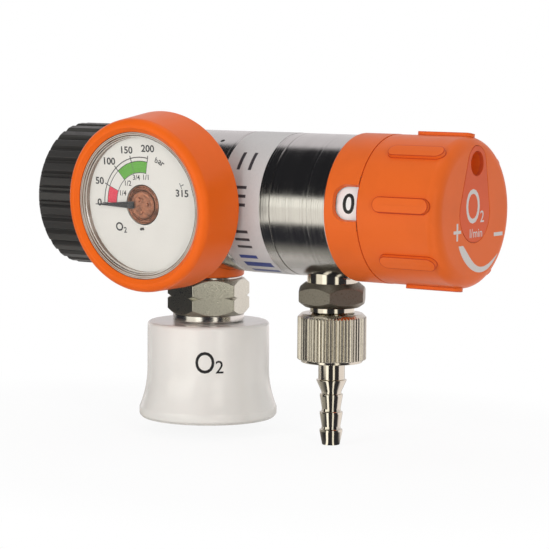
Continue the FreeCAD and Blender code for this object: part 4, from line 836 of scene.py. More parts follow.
class REGULATOR_OT_inlet(PieceOperator, bpy.types.Operator):
    """Inlet nipple with its seal, seen in the mouth of the handwheel"""

    bl_idname = "regulator.inlet"
    bl_label = "Inlet nipple"

    def build(self):
        nipple = turned("inlet_spigot", [
            (0.0, 2.0, 0.3), (0.0, 7.0, 0.6), (2.2, 7.0, 0.15), (2.2, 5.5), (4.6, 5.5), (4.6, 7.0, 0.15),
            (6.9, 7.0, 0.3), (6.9, 12.4, 0.5), (14.7, 12.4, 0.4), (14.7, 8.0), (21.0, 8.0), (21.0, 7.6),
            (34.0, 7.6), (34.0, 4.2), (28.0, 4.2), (28.0, 2.0),
        ], along_body, 120)
        dress(nipple, "regulator_body", "inlet_metal", "nickel_plate", "inlet_nipple")
        circle = [(3.4 + 0.75 * math.cos(a), 6.25 + 0.75 * math.sin(a))
                  for a in np.linspace(0, TURN, 20, endpoint=False)]
        ring = turned("inlet_seal", circle, along_body, 96)
        dress(ring, "regulator_body", "seal_rubber", "seal_rubber", "inlet_o_ring")


class REGULATOR_OT_body(PieceOperator, bpy.types.Operator):
    """The two turned bodies, with the vent and the groove"""

    bl_idname = "regulator.body"
    bl_label = "Turned bodies"

    def build(self):
        radius = size("body_radius")
        edge = size("body_chamfer")
        inlet = turned("inlet_barrel", [
            (BODY_START, 7.6), (BODY_START, radius - edge, 0.12), (BODY_START + edge, radius, 0.12),
            (SEAM_X - edge, radius, 0.12), (SEAM_X, radius - edge, 0.12), (SEAM_X, 17.5), (59.0, 17.5),
            (59.0, 7.6),
        ], along_body, 240)
        vent = [(radius - 1.2, 0.0), (radius - 1.2, 0.8), (radius + 1.0, 0.8), (radius + 1.0, 0.0)]
        hole = turned("vent_cutter", vent, upright(0.0), 40, closed=False)
        lean = Vector((0, 0, 1)).rotation_difference(Vector(along_body(0.0, 1.0, math.radians(60.8))))
        hole.data.transform(Matrix.Translation((60.0 * MM, 0, 0)) @ lean.to_matrix().to_4x4())
        cut(inlet, hole)
        dress(inlet, "regulator_body", "body_metal", "turned_metal", "inlet_body")
        housing = turned("flow_barrel", [
            (SEAM_X, 17.5), (SEAM_X, radius - edge, 0.12), (SEAM_X + edge, radius, 0.12),
            (86.95, radius, 0.06), (87.2, radius - 0.5), (87.45, radius, 0.06),
            (HOUSING_END, radius, 0.3), (HOUSING_END, 21.4), (111.2, 21.4), (111.2, 19.65), (104.6, 19.65),
            (104.6, 17.5),
        ], along_body, 240)
        dress(housing, "regulator_body", "body_metal", "turned_metal", "flow_housing")


class REGULATOR_OT_label(PieceOperator, bpy.types.Operator):
    """Pale film wrapped round the flow body, with plain stripes"""

    bl_idname = "regulator.label"
    bl_label = "Label band"

    def build(self):
        radius = size("body_radius")
        first = math.radians(60.0)
        lap = math.radians(11.0)
        angles = np.linspace(first - TURN, first + lap, 260)
        bends = [first - TURN, first - 0.02, first + 0.02, first + lap]
        rise = np.interp(angles, bends, [0.02, 0.02, 0.05, 0.05])
        rows = [(LABEL_START, -0.02), (LABEL_START, 0.0), (LABEL_START, 0.05),
                (LABEL_END, 0.05), (LABEL_END, 0.0), (LABEL_END, -0.02)]
        grid = np.array([laid(along_body, station, radius + rise + lift, angles) for station, lift in rows])
        band = net("label_film", grid, False, False)
        dress(band, "regulator_body", "label_print", "label_film", "label_band")


class REGULATOR_OT_window(PieceOperator, bpy.types.Operator):
    """Ring with the D-shaped window, and the numbered drum behind it"""

    bl_idname = "regulator.window"
    bl_label = "Window ring and drum"

    def build(self):
        radius = size("ring_radius")
        inner = 22.4
        start = HOUSING_END
        patch_start = start + 1.2
        patch_half = 9.0
        shut = RING_END - size("window_reach")
        corner = size("window_corner")
        slope = 0.8 / (radius - DRUM_RADIUS)

        def outline(height, grow=0.0):
            """The window's edge at a height over the axis, from the free edge round and back to it."""
            half = size("window_half") + slope * (height - DRUM_RADIUS) + grow
            left = shut - grow
            bend = corner + grow
            points = [(RING_END + (left + bend - RING_END) * step / 6, half) for step in range(6)]
            for step in range(13):
                angle = math.pi / 2 * (1 + step / 12)
                points.append((left + bend + bend * math.cos(angle), half - bend + bend * math.sin(angle)))
            for step in range(1, 6):
                points.append((left, (half - bend) * (1 - step / 3)))
            for step in range(13):
                angle = math.pi * (1 + step / 24)
                points.append((left + bend + bend * math.cos(angle), bend - half + bend * math.sin(angle)))
            points += [(left + bend + (RING_END - left - bend) * step / 6, -half) for step in range(1, 7)]
            return points

        near = outline(radius, 0.9)
        middle = shut + corner + 1.0
        sides = [x >= middle or abs(s) > middle - x for x, s in near]
        frame_points = []
        for index, (x, s) in enumerate(near):
            if sides[index]:
                frame_points.append((x, math.copysign(patch_half, s)))
            elif sides[index - 1] or sides[index + 1]:
                frame_points.append((patch_start, math.copysign(patch_half, s)))
            else:
                frame_points.append((patch_start, s / (middle - x) * patch_half))
        rows = [(frame_points, radius)]
        for grow, drop in ((0.9, 0.0), (0.20, 0.0), (0.10, 0.02), (0.03, 0.07), (0.0, 0.16), (0.0, 0.9)):
            rows.append((outline(radius - drop, grow), radius - drop))
        rows.append((outline(inner), inner))
        grid = [[along_body(x, level, s / level + WINDOW_LEAN) for x, s in points] for points, level in rows]
        patch = net("window_patch", np.array(grid), False, False, 40.0)
        spread = patch_half / radius
        angles = np.linspace(WINDOW_LEAN + spread, WINDOW_LEAN - spread + TURN, 200)
        profile = [(patch_start, inner), (patch_start, radius), (RING_END, radius), (RING_END, inner)]
        shell = net("ring_wall", np.array([laid(along_body, x, r, angles) for x, r in profile]), False, False)
        flange = turned("ring_flange", [
            (patch_start, inner), (patch_start, radius), (start + 0.4, radius, 0.4),
            (start, radius - 0.4, 0.3),
            (start, 21.45), (patch_start + 0.6, 21.45), (patch_start + 0.6, inner),
        ], along_body, 240, closed=False)
        ring = joined("window_collar", [patch, shell, flange])
        dress(ring, "regulator_body", "knob_plastic", "orange_knob", "window_ring")

        drum = turned("scale_drum", [
            (111.8, 20.3), (111.8, DRUM_RADIUS, 0.2), (KNOB_START, DRUM_RADIUS), (KNOB_START, 21.45),
            (126.2, 21.45), (126.2, 7.05), (124.2, 7.05), (124.2, 20.3),
        ])
        dress(drum, "selector", "drum_plastic", "drum_white", "number_drum")
        marks = ["0", "0.5", "1", "2", "3", "4", "5", "6", "8", "10", "12", "15"]
        digits = []
        for step, mark in enumerate(marks):
            turn = WINDOW_LEAN - math.radians(0.3) - TURN * step / len(marks)

            def place(x, y, turn=turn):
                return along_body(116.65 + x, DRUM_RADIUS + 0.03, turn + y / DRUM_RADIUS)

            wide = 1.04 if len(mark) == 1 else 0.66
            digits.append(lettering("digit", mark, 6.6, place, wide, 0.022, 0.7))
        dress(joined("drum_numbers", digits), "selector", "black_ink", "pointer_black")


class REGULATOR_OT_knob(PieceOperator, bpy.types.Operator):
    """Flow knob with its grips, the plate in its face, the key hole and the printed signs"""

    bl_idname = "regulator.knob"
    bl_label = "Flow knob"

    def build(self):
        radius = size("knob_radius")
        rounding = size("knob_rounding")
        lean = FACE_LEAN
        plate_radius, tip_radius, reach, depth, key_depth = 9.3, 5.6, 15.7, 1.4, 5.0
        face = radius - rounding
        top = KNOB_END - 0.03

        def teardrop(grow, split=40):
            """Points round the face plate's outline, grown by a margin."""
            big, small = plate_radius + grow, tip_radius + grow
            angle = math.acos((big - small) / reach)
            points = []
            for step in range(split + 1):
                turn = math.pi / 2 - angle - (TURN - 2 * angle) * step / split
                points.append((big * math.cos(turn), big * math.sin(turn)))
            tip = []
            for step in range(split // 2 + 1):
                turn = math.pi / 2 + angle - 2 * angle * step / (split // 2)
                tip.append((small * math.cos(turn), reach + small * math.sin(turn)))
            for first, last, more in ((points[-1], tip[0], tip), (tip[-1], points[0], [])):
                first, last = np.array(first), np.array(last)
                points += [tuple(first + (last - first) * step / 16) for step in range(1, 16)]
                points += more
            return [(x * math.cos(lean) + y * math.sin(lean), y * math.cos(lean) - x * math.sin(lean))
                    for x, y in points]

        def crown(radii):
            """Station of the knob's outside, flat over its face and rounding over towards its side."""
            over = np.clip(np.asarray(radii, float) - face, 0.0, rounding)
            return top - rounding + np.sqrt(rounding ** 2 - over ** 2)

        def key_circle(radius):
            """Points round the key hole's axis."""
            y, z = reach * math.sin(lean), reach * math.cos(lean)
            turns = [TURN * step / 48 for step in range(48)]
            return [(y + radius * math.cos(turn), z + radius * math.sin(turn)) for turn in turns]

        def flat(name, loops, station):
            """A flat sheet across the body's axis inside the first loop and outside the others."""
            rings = [[Vector((y, z, 0.0)) for y, z in loop] for loop in loops]
            points = [(min(station, float(crown(math.hypot(y, z)))), y, z) for loop in loops for y, z in loop]
            return piece_of(name, points, [tuple(face) for face in tessellate_polygon(rings)])

        def wall(name, loops):
            """A strip through loops of (y, z) points, each at its own depth under the knob's outside."""
            grid = [[(crown(math.hypot(y, z)) - drop, y, z) for y, z in loop] for loop, drop in loops]
            return net(name, np.array(grid), False, True)

        key_radius = 3.95
        key_ring = key_circle(key_radius)
        angles = np.linspace(0, TURN, 360, endpoint=False)
        rim_angles, rim_sizes = polar(np.array(teardrop(0.28)))
        order = np.argsort(rim_angles)
        rim_radii = np.interp(angles, rim_angles[order], rim_sizes[order], period=TURN)
        levels = [0.0, 12.0, 15.0, 18.0, face - 0.4]
        levels += [face + rounding * math.sin(step * math.pi / 36) for step in range(19)]
        grid = []
        for level in levels:
            radii = np.maximum(rim_radii, level)
            grid.append(laid(along_body, crown(radii), radii, np.pi - angles))
        for station, level in ((KNOB_START + 0.15, radius), (KNOB_START + 0.04, radius - 0.05),
                               (KNOB_START, radius - 0.12), (KNOB_START, 21.5), (KNOB_END - 3.2, 21.5)):
            grid.append(laid(along_body, station, level, np.pi - angles))
        parts = [
            net("knob_side", np.array(grid), False, True),
            wall("recess_wall", [(teardrop(0.28), 0.0), (teardrop(0.16), 0.06), (teardrop(0.10), 0.18),
                                 (teardrop(0.10), depth)]),
            flat("recess_floor", [teardrop(0.10), key_ring], KNOB_END - depth - 0.03),
            wall("key_wall", [(key_ring, depth), (key_ring, key_depth)]),
            flat("key_floor", [key_ring], KNOB_END - key_depth),
        ]
        long, wide, height = size("grip_length"), size("grip_width"), size("grip_height")
        middle = KNOB_END - size("grip_gap") - long / 2
        def surface(x):
            """Radius of the knob's own side, which rounds over towards its face."""
            over = min(max(x - (KNOB_END - rounding), 0.0), rounding)
            return face + math.sqrt(rounding ** 2 - over ** 2)

        shade_strips = []
        for step in range(size("grip_count")):
            turn = WINDOW_LEAN + TURN * step / size("grip_count")

            def ridge(name, steps):
                grid = []
                for grow, lift in steps:
                    loop = obround(long + 2 * grow, wide + 2 * grow, 14, 12)
                    grid.append([along_body(middle + x, surface(middle + x) + lift, turn + s / radius)
                                 for x, s in loop])
                return net(name, np.array(grid), False, True)

            parts.append(ridge("grip", [(0.02, 0.12), (0.0, height - 0.12)]))
            parts.append(ridge("grip_top", [
                (-0.26, height), (-1.0, height), (-wide / 2 + 0.3, height), (-wide / 2 + 0.01, height),
            ]))
            # Strips at each grip's foot and top edge wear the darker orange as painted shade in the creases
            shade_strips.append(ridge("grip_foot", [(0.24, -0.05), (0.22, 0.015), (0.08, 0.02), (0.02, 0.12)]))
            shade_strips.append(ridge("grip_edge", [(0.0, height - 0.12), (-0.05, height - 0.03), (-0.26, height)]))
        # A strip at the knob's seam also wears the painted shade
        shade_strips.append(turned("knob_seam", [
            (KNOB_START, radius - 0.12), (KNOB_START - 0.25, radius - 0.12), (KNOB_START - 0.25, 22.6),
            (KNOB_START, 22.6),
        ], along_body, 360, closed=False))
        dress(joined("grip_feet", shade_strips), "selector", "shaded_plastic", "orange_knob")
        dress(joined("flow_knob_shell", parts), "selector", "knob_plastic", "orange_knob", "flow_knob")

        edge = 0.14
        plate = joined("face_plate", [
            flat("plate_top", [teardrop(-edge), key_circle(key_radius + edge)], top),
            wall("plate_edge", [(teardrop(-edge), 0.0), (teardrop(-0.04), 0.04), (teardrop(0.0), edge),
                                (teardrop(0.0), depth)]),
            wall("plate_bore", [(key_circle(key_radius + edge), 0.0), (key_circle(key_radius + 0.04), 0.04),
                                (key_ring, edge), (key_ring, depth)]),
        ])
        dress(plate, "selector", "plate_plastic", "knob_plate", "knob_insert")

        print_x = KNOB_END - 0.01
        signs = [lettering("sign", text, tall, lambda x, s, y=y, z=z: (print_x, y + x, z + s), share, weight)
                 for text, tall, y, z, share, weight in (("O", 10.9, -1.25, 2.25, 0.74, 0.004),
                                                         ("2", 3.7, 4.57, -1.2, 1.0, 0.01),
                                                         ("l/min", 2.8, 0.87, -6.3, 1.05, 0.004))]
        for y, z, half_y, half_z in ((-10.8, -5.5, 2.3, 0.5), (-10.8, -3.85, 0.5, 1.1),
                                     (-10.8, -7.15, 0.5, 1.1), (15.15, -7.45, 2.85, 0.6)):
            corners = [(print_x, y + a * half_y, z + b * half_z) for a, b in SQUARE]
            signs.append(piece_of("sign", corners, [(0, 1, 2, 3)]))
        shares = np.linspace(0, 1, 41)
        outer = ((-9.9, -4.3, 4.8, 15.2), (-9.9, -16.3, -19.0, -13.5))
        inner = ((-7.1, -1.6, 4.7, 15.1), (-9.9, -14.8, -17.3, -13.6))
        thirds = [0, 0.33, 0.66, 1]
        edges = [np.polyval(np.polyfit(thirds, values, 3), shares) for values in outer + inner]
        arc = []
        for outer_y, outer_z, inner_y, inner_z in zip(*edges):
            for y, z in ((outer_y, outer_z), (inner_y, inner_z)):
                arc.append((float(crown(math.hypot(y, z))) + 0.02, y, z))
        signs.append(piece_of("sign", arc, [(i, i + 1, i + 3, i + 2) for i in range(0, 80, 2)]))
        dress(joined("face_signs", signs), "selector", "pale_ink", "dial_white")


class REGULATOR_OT_gauge(PieceOperator, bpy.types.Operator):
    """Gauge cover, lens and its smoky rim"""

    bl_idname = "regulator.gauge"
    bl_label = "Gauge cover and lens"

    def build(self):
        rounding = size("cover_rounding")
        bezel = size("bezel_radius")
        cover = turned("cover_shell", [
            (-13.4, 8.6), (-13.4, 29.6, 1.2), (4.27, 28.5, rounding), (4.27, 25.75, 0.3),
            (3.1, bezel, 0.2), (2.7, bezel), (2.7, 26.25), (-11.2, 26.25), (-11.2, 8.6),
        ], round_gauge, 256, coarse=6.0)
        dress(cover, "regulator_body", "cover_plastic", "orange_cover", "gauge_cover")
        cover.visible_glossy = False
        rim = turned("lens_rim", [
            (0.02, 22.1), (0.02, 24.28), (2.75, 24.28, 0.15), (2.75, 23.2, 0.2), (2.0, 22.9, 0.2),
            (1.3, 22.3, 0.2),
        ], round_gauge, 256)
        dress(rim, "regulator_body", "smoky_rim", "clear_lens")
        pane = [(1.7, 0.0), (1.7, 22.6), (2.5, 22.9, 0.3), (2.5, 0.0)]
        lens = turned("lens_window", pane, round_gauge, 200, False)
        dress(lens, "regulator_body", "clear_window", "clear_lens", "gauge_lens")
        lens.visible_shadow = False
        lens.visible_diffuse = False


class REGULATOR_OT_dial(PieceOperator, bpy.types.Operator):
    """Dial with its scale, zones and numbers, the pointer and the capsule of the movement"""

    bl_idname = "regulator.dial"
    bl_label = "Dial and pointer"

    def build(self):
        plate = [(-0.8, 6.7), (-0.8, 24.8), (0.0, 24.8, 0.05), (0.0, 6.7, 0.1)]
        dial = turned("dial_plate", plate, round_gauge, 220)
        dress(dial, "regulator_body", "dial_paint", "dial_white", "gauge_dial")

        def band(inner, outer, first, last, name="band"):
            steps = max(2, int(abs(last - first) / 1.5) + 1)
            angles = np.radians(np.linspace(first, last, steps))
            rows = [laid(round_gauge, 0.02, r, angles) for r in (inner, outer)]
            return net(name, np.array(rows), False, False)

        def tick(angle, inner, outer, half=0.15):
            turn = math.radians(angle)
            cosine, sine = math.cos(turn), math.sin(turn)
            corners = [(inner, -half), (outer, -half), (outer, half), (inner, half)]
            points = [on_dial(r * cosine - s * sine, r * sine + s * cosine, 0.025) for r, s in corners]
            return piece_of("tick", points, [(0, 1, 2, 3)])

        def mark(text, height, left, up, width, weight, turn=0.0):
            def lay(x, y):
                return on_dial(left + x, up + y, 0.03)

            return lettering("mark", text, height, lay, width, weight, turn=turn)

        def spot(radius, angle):
            turn = math.radians(angle)
            return radius * math.cos(turn), radius * math.sin(turn)

        main_marks = (156.5, 131.2, 105.0, 79.0)
        rings = ((15.52, 15.84), (14.3, 14.52), (10.5, 10.72))
        lines = [band(inner, outer, 180.0, 78.5) for inner, outer in rings]
        lines.append(band(17.25, 17.5, 26.5, 20.0))
        lines += [tick(angle, 14.35, 16.6) for angle in main_marks]
        lines += [tick(179.6, 14.35, 16.6, 0.09), tick(23.2, 17.25, 18.7)]
        lines += [tick(angle, 10.55, 14.35, 0.07) for angle in main_marks]
        for text, angle, radius in (("0", 179.4, 17.9), ("50", 157.0, 18.9), ("100", 132.6, 19.0),
                                    ("150", 106.9, 18.7), ("200", 80.2, 18.9), ("315", 15.3, 17.0)):
            lines.append(mark(text, 2.4, *spot(radius, angle), 1.12, 0.034))
        for text, angle, radius in (("1/4", 155.0, 8.6), ("1/2", 128.5, 8.9),
                                    ("3/4", 102.5, 9.2), ("1/1", 78.0, 9.4)):
            lines.append(mark(text, 1.75, *spot(radius, angle), 1.0, 0.018))
        for text, angle, height in (("b", 66.0, 1.9), ("a", 61.0, 1.5), ("r", 56.5, 1.5)):
            lines.append(mark(text, height, *spot(16.3, angle), 1.0, 0.022, math.radians(angle - 90)))
        lines += [mark("O", 2.9, -10.0, -7.6, 1.0, 0.03), mark("2", 1.9, -7.6, -8.6, 1.0, 0.03)]
        dress(joined("dial_marks", lines), "regulator_body", "black_ink", "pointer_black")
        green = joined("green_zone", [band(10.75, 14.3, 131.2, 105.4), band(10.75, 14.3, 104.6, 79.2)])
        dress(green, "regulator_body", "green_ink", "dial_white")
        dress(band(10.75, 14.3, 179.0, 156.8, "red_zone"), "regulator_body", "red_ink", "dial_white")

        blade = []
        for x, half in ((3.0, 1.25), (6.5, 1.0), (11.0, 0.66), (16.0, 0.30), (size("pointer_length"), 0.10)):
            for y, lift in ((-half, 0.70), (-half, 0.95), (0.0, 1.03), (half, 0.95), (half, 0.70)):
                blade.append(on_dial(-x, y - 0.02 * x, lift))
        pointer = net("pointer_blade", np.array(blade).reshape(5, 5, 3), False, True)
        dress(pointer, "pointer", "pointer_paint", "pointer_black", "gauge_pointer")
        rivets = [turned("movement_carrier", [
            (-1.6, 0.0), (-1.6, 4.7), (-0.1, 4.7, 0.4), (0.62, 4.1, 0.5), (0.5, 2.9, 0.4), (0.6, 0.0),
        ], round_gauge, 96, closed=False)]
        for x, y, r in ((-1.0, 1.8, 0.75), (-0.2, -2.3, 0.75), (2.3, 0.3, 0.6)):
            def on_cap(station, radius, angle, x=x, y=y):
                return on_dial(x + radius * np.cos(angle), y + radius * np.sin(angle), station)

            head = [(0.4, 0.0), (0.4, r), (0.95, r * 0.85, 0.2), (1.05, 0.0)]
            rivets.append(turned("rivet", head, on_cap, 32, closed=False))
        capsule = joined("movement_capsule", rivets)
        dress(capsule, "pointer", "bronze_capsule", "tube_bronze", "pointer_carrier")
        coil = turned("pressure_coil", [
            (-7.2, 0.0), (-7.2, 6.3), (-0.1, 6.3, 0.15), (-0.1, 5.95, 0.15), (-0.8, 5.9), (-0.8, 5.8),
            (-0.1, 5.75, 0.15), (-0.1, 5.4, 0.15), (-0.8, 5.35), (-0.8, 5.25), (-0.3, 5.2, 0.1),
            (-0.3, 4.95, 0.1),
            (-2.0, 4.9), (-2.0, 0.0),
        ], round_gauge, 120, closed=False)
        dress(coil, "regulator_body", "bronze_capsule", "tube_bronze", "bourdon_coil")


class REGULATOR_OT_coupling(PieceOperator, bpy.types.Operator):
    """Collar, washer, hexagon and tube of the quick coupling"""

    bl_idname = "regulator.coupling"
    bl_label = "Quick coupling"

    def build(self):
        barrel = size("body_radius") + 0.05
        place = upright(COUPLING_X)
        angles = np.linspace(0, TURN, 160, endpoint=False)

        def collar_at(column):
            side = [barrel ** 2 - (r * math.cos(angles[column])) ** 2 for r in (12.1, 8.6)]
            outer, inner = (-math.sqrt(max(value, 0.0)) for value in side)
            return [(-26.0, 8.6), (-26.0, 12.1, 0.8), (outer, 12.1), (inner, 8.6)]

        collar = shaped("coupling_collar", angles, collar_at, place)
        dress(collar, "regulator_body", "knob_plastic", "orange_knob", "outlet_collar")
        flat_ring = [(-26.8, 7.05), (-26.8, 11.0, 0.2), (-26.0, 11.0, 0.2), (-26.0, 7.05)]
        washer = turned("collar_washer", flat_ring, place, 120)
        dress(washer, "regulator_body", "coupling_metal", "nickel_plate", "coupling_washer")
        flats = size("coupling_flats")
        corner = flats / math.sqrt(3)
        top, groove_level, foot = -26.8, -32.9, -38.9
        seat = flats / 2 - 0.1
        drop = (corner - flats / 2) * 0.55 + 0.9

        def hex_at(radius):
            chamfer = max(radius - seat, 0.02) * drop / (corner + 0.05 - seat)
            depth = max(radius - (corner - 1.1), 0.02)
            half = depth * 0.8 / 1.15
            return [
                (foot, 7.2), (foot, seat, 0.1), (foot + chamfer, radius, 0.15),
                (groove_level - half, radius, 0.1),
                (groove_level, radius - depth, 0.1), (groove_level + half, radius, 0.1),
                (top - chamfer, radius, 0.15), (top, seat, 0.1), (top, 7.2),
            ]

        nut = hexagon_piece("coupling_nut", flats, math.radians(14.0), COUPLING_X, 0.45, hex_at)
        shank = turned("adapter_shank", [(-44.5, 2.0), (-44.5, 7.0), (-13.5, 7.0), (-13.5, 2.0)], place, 96)
        adapter = joined("coupling_hexagon", [nut, shank])
        dress(adapter, "regulator_body", "dull_flats", "nickel_plate", "coupling_adapter")
        body = turned("coupling_barrel", [
            (-38.9, 7.05), (-38.9, 12.2, 0.35), (-41.3, 12.2, 0.35), (-41.3, 9.7), (-56.2, 9.7), (-56.2, 9.0),
            (-57.4, 9.0), (-57.4, 9.7), (-68.0, 9.7, 0.4), (-68.0, 7.4), (-67.2, 6.6), (-55.0, 6.6, 0.2),
            (-55.0, 8.0), (-53.0, 8.0), (-53.0, 3.6, 0.3), (-51.5, 3.6), (-51.5, 5.4), (-44.5, 5.4),
            (-44.5, 7.05),
        ], place, 144)
        dress(body, "regulator_body", "coupling_metal", "nickel_plate", "coupling_body")


class REGULATOR_OT_sleeve(PieceOperator, bpy.types.Operator):
    """White release sleeve of the quick coupling, with the sign of its gas"""

    bl_idname = "regulator.sleeve"
    bl_label = "Release sleeve"

    def build(self):
        radius = size("sleeve_radius")
        flare = size("sleeve_flare")
        rounding = size("sleeve_rounding")
        place = upright(COUPLING_X)
        wall = 2.2
        bell_top, bell_foot = -57.5, -71.0
        across, down = flare - radius, bell_top - bell_foot
        bend = (across ** 2 + down ** 2) / (2 * across)

        def bell(level):
            """Radius of the outer wall, which opens in one wide curve below bell_top."""
            return radius + bend - math.sqrt(bend ** 2 - min(max(bell_top - level, 0.0), down) ** 2)

        levels = [bell_top - down * step / 24 for step in range(1, 25)]
        sleeve = turned("white_sleeve", [
            (-41.6, 9.75, 0.1), (-41.6, radius, rounding), (bell_top, radius),
        ] + [(level, bell(level)) for level in levels] + [
            (-73.4, flare, 0.9), (-74.4, flare - 1.0, 0.6), (-74.4, flare - wall, 0.4), (-71.0, flare - wall),
            (-57.5, radius - wall), (-44.8, radius - wall, 0.5), (-44.8, 14.0), (-66.2, 14.0, 0.4),
            (-66.2, 11.9),
            (-44.8, 11.9), (-44.8, 9.75),
        ], place, 240, coarse=7.0)
        dress(sleeve, "sleeve", "sleeve_plastic", "sleeve_white", "release_sleeve")

        def on_wall(shift, level):
            return lambda x, y: place(level + y, bell(level + y) + 0.03, (shift + x) / radius)

        signs = [lettering("sign", "O", 7.3, on_wall(12.0, -53.45), 0.84, 0.006, 0.8),
                 lettering("sign", "2", 4.3, on_wall(16.95, -54.9), 1.0, 0.008, 0.8)]
        dress(joined("sleeve_sign", signs), "sleeve", "black_ink", "pointer_black")


class REGULATOR_OT_outlet(PieceOperator, bpy.types.Operator):
    """Hose outlet: hexagon, thread, knurled union nut, gasket and barbed hose tail"""

    bl_idname = "regulator.outlet"
    bl_label = "Hose outlet"

    def build(self):
        place = upright(OUTLET_X)
        flats = size("outlet_flats")
        corner = flats / math.sqrt(3)
        barrel = size("body_radius") + 0.05

        top, foot, seat = -25.3, -33.3, 9.0

        def hex_at(radius):
            share = max(radius - seat, 0.02) / (corner - seat)
            return [(foot, 4.0), (foot, seat, 0.15), (foot + 2.3 * share, radius, 0.18),
                    (top - 2.7 * share, radius, 0.18), (top, seat, 0.2), (top, 4.0)]

        nut = hexagon_piece("outlet_nut", flats, math.radians(29.0), OUTLET_X, 0.4, hex_at)
        angles = np.linspace(0, TURN, 120, endpoint=False)

        def neck_at(column):
            outer, inner = (-math.sqrt(barrel ** 2 - (r * math.cos(angles[column])) ** 2) for r in (8.4, 5.0))
            return [(-25.6, 5.0), (-25.6, 8.4), (outer - 0.01, 8.4), (inner, 5.0)]

        neck = shaped("outlet_neck", angles, neck_at, place, 2)
        crest = 7.37
        rows = [(station, crest) for station in np.arange(-44.0, -33.35, 0.11)]
        thread = threaded(crest, -43.6, -34.9, 1.0, 7.4, -0.5, 1.3, 0.15)
        spigot = [(-44.2, 2.0), (-44.2, 6.9), *rows, (-33.3, 7.0), (-33.3, 2.0)]
        stem = turned("outlet_thread", spigot, place, 96, thread=thread)
        dress(nut, "regulator_body", "olive_flats", "warm_nickel", "outlet_adapter")
        dress(joined("outlet_stem", [neck, stem]), "regulator_body", "tail_metal", "warm_nickel")

        knurl = 11.4
        columns, radii = toothed(size("knurl_count"), (
            (-0.20, knurl, 0.22), (0.20, knurl, 0.22), (0.5, knurl - size("knurl_depth"), 0.10),
        ))

        def nut_at(column):
            radius = radii[column]
            slope = max(radius - 10.1, 0.02)
            return [
                (-50.7, 10.2), (-50.7, radius - 0.2, 0.1), (-50.5, radius, 0.1),
                (-35.4 - slope, radius, 0.25),
                (-35.4, 10.1, 0.3), (-35.4, 7.45, 0.2), (-48.7, 7.45), (-48.7, 4.6), (-51.7, 4.6, 0.1),
                (-51.7, 10.2, 0.35),
            ]

        union = shaped("knurled_union", columns, nut_at, place, 3, sharp=40.0)
        dress(union, "union_nut", "knurl_metal", "warm_nickel", "knurled_nut")
        gasket = turned("union_gasket", [(-45.2, 2.5), (-45.2, 6.8), (-44.2, 6.8), (-44.2, 2.5)], place, 72)
        dress(gasket, "regulator_body", "seal_rubber", "seal_rubber", "nipple_washer")
        tail = [(-45.2, 2.0), (-45.2, 6.8, 0.2), (-48.4, 6.8, 0.2), (-48.4, 4.4, 0.2), (-57.3, 4.4, 0.1),
                (-57.5, 5.0, 0.08), (-57.8, 5.0, 0.1), (-61.4, 3.4, 0.2)]
        for step in range(size("barb_count")):
            ledge = -62.2 - 5.9 * step
            tail += [(ledge, 3.25, 0.08), (ledge - 0.12, 3.8, 0.06), (ledge - 0.8, 3.8, 0.25)]
            tail += [(ledge - 5.0, 3.1, 0.3)] if step < size("barb_count") - 1 else []
        tail += [(-79.2, 2.9, 0.15), (-79.2, 2.0, 0.1)]
        nipple = turned("hose_tail", tail, place, 120)
        dress(nipple, "regulator_body", "tail_metal", "warm_nickel", "hose_nipple")


class REGULATOR_OT_inner_parts(PieceOperator, bpy.types.Operator):
    """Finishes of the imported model's own inner pieces"""

    bl_idname = "regulator.inner_parts"
    bl_label = "Inner pieces"

    def build(self):
        finishes = {
            "nickel_plate": "coupling_metal", "plain_brass": "plain_brass", "piston_metal": "piston_metal",
            "sintered_metal": "sintered_metal", "seal_rubber": "seal_rubber", "seat_polymer": "seat_polymer",
            "spring_steel": "spring_wire", "ball_steel": "ball_steel", "vent_black": "vent_filter_mesh",
            "case_steel": "case_steel", "screw_steel": "screw_steel", "pointer_black": "black_ink",
        }
        for part in frame["record"]["subparts"]:
            shape = frame["nodes"][part["node"]]
            if not shape.hide_render and part["material_slot"] in finishes:
                wear(shape, finishes[part["material_slot"]])


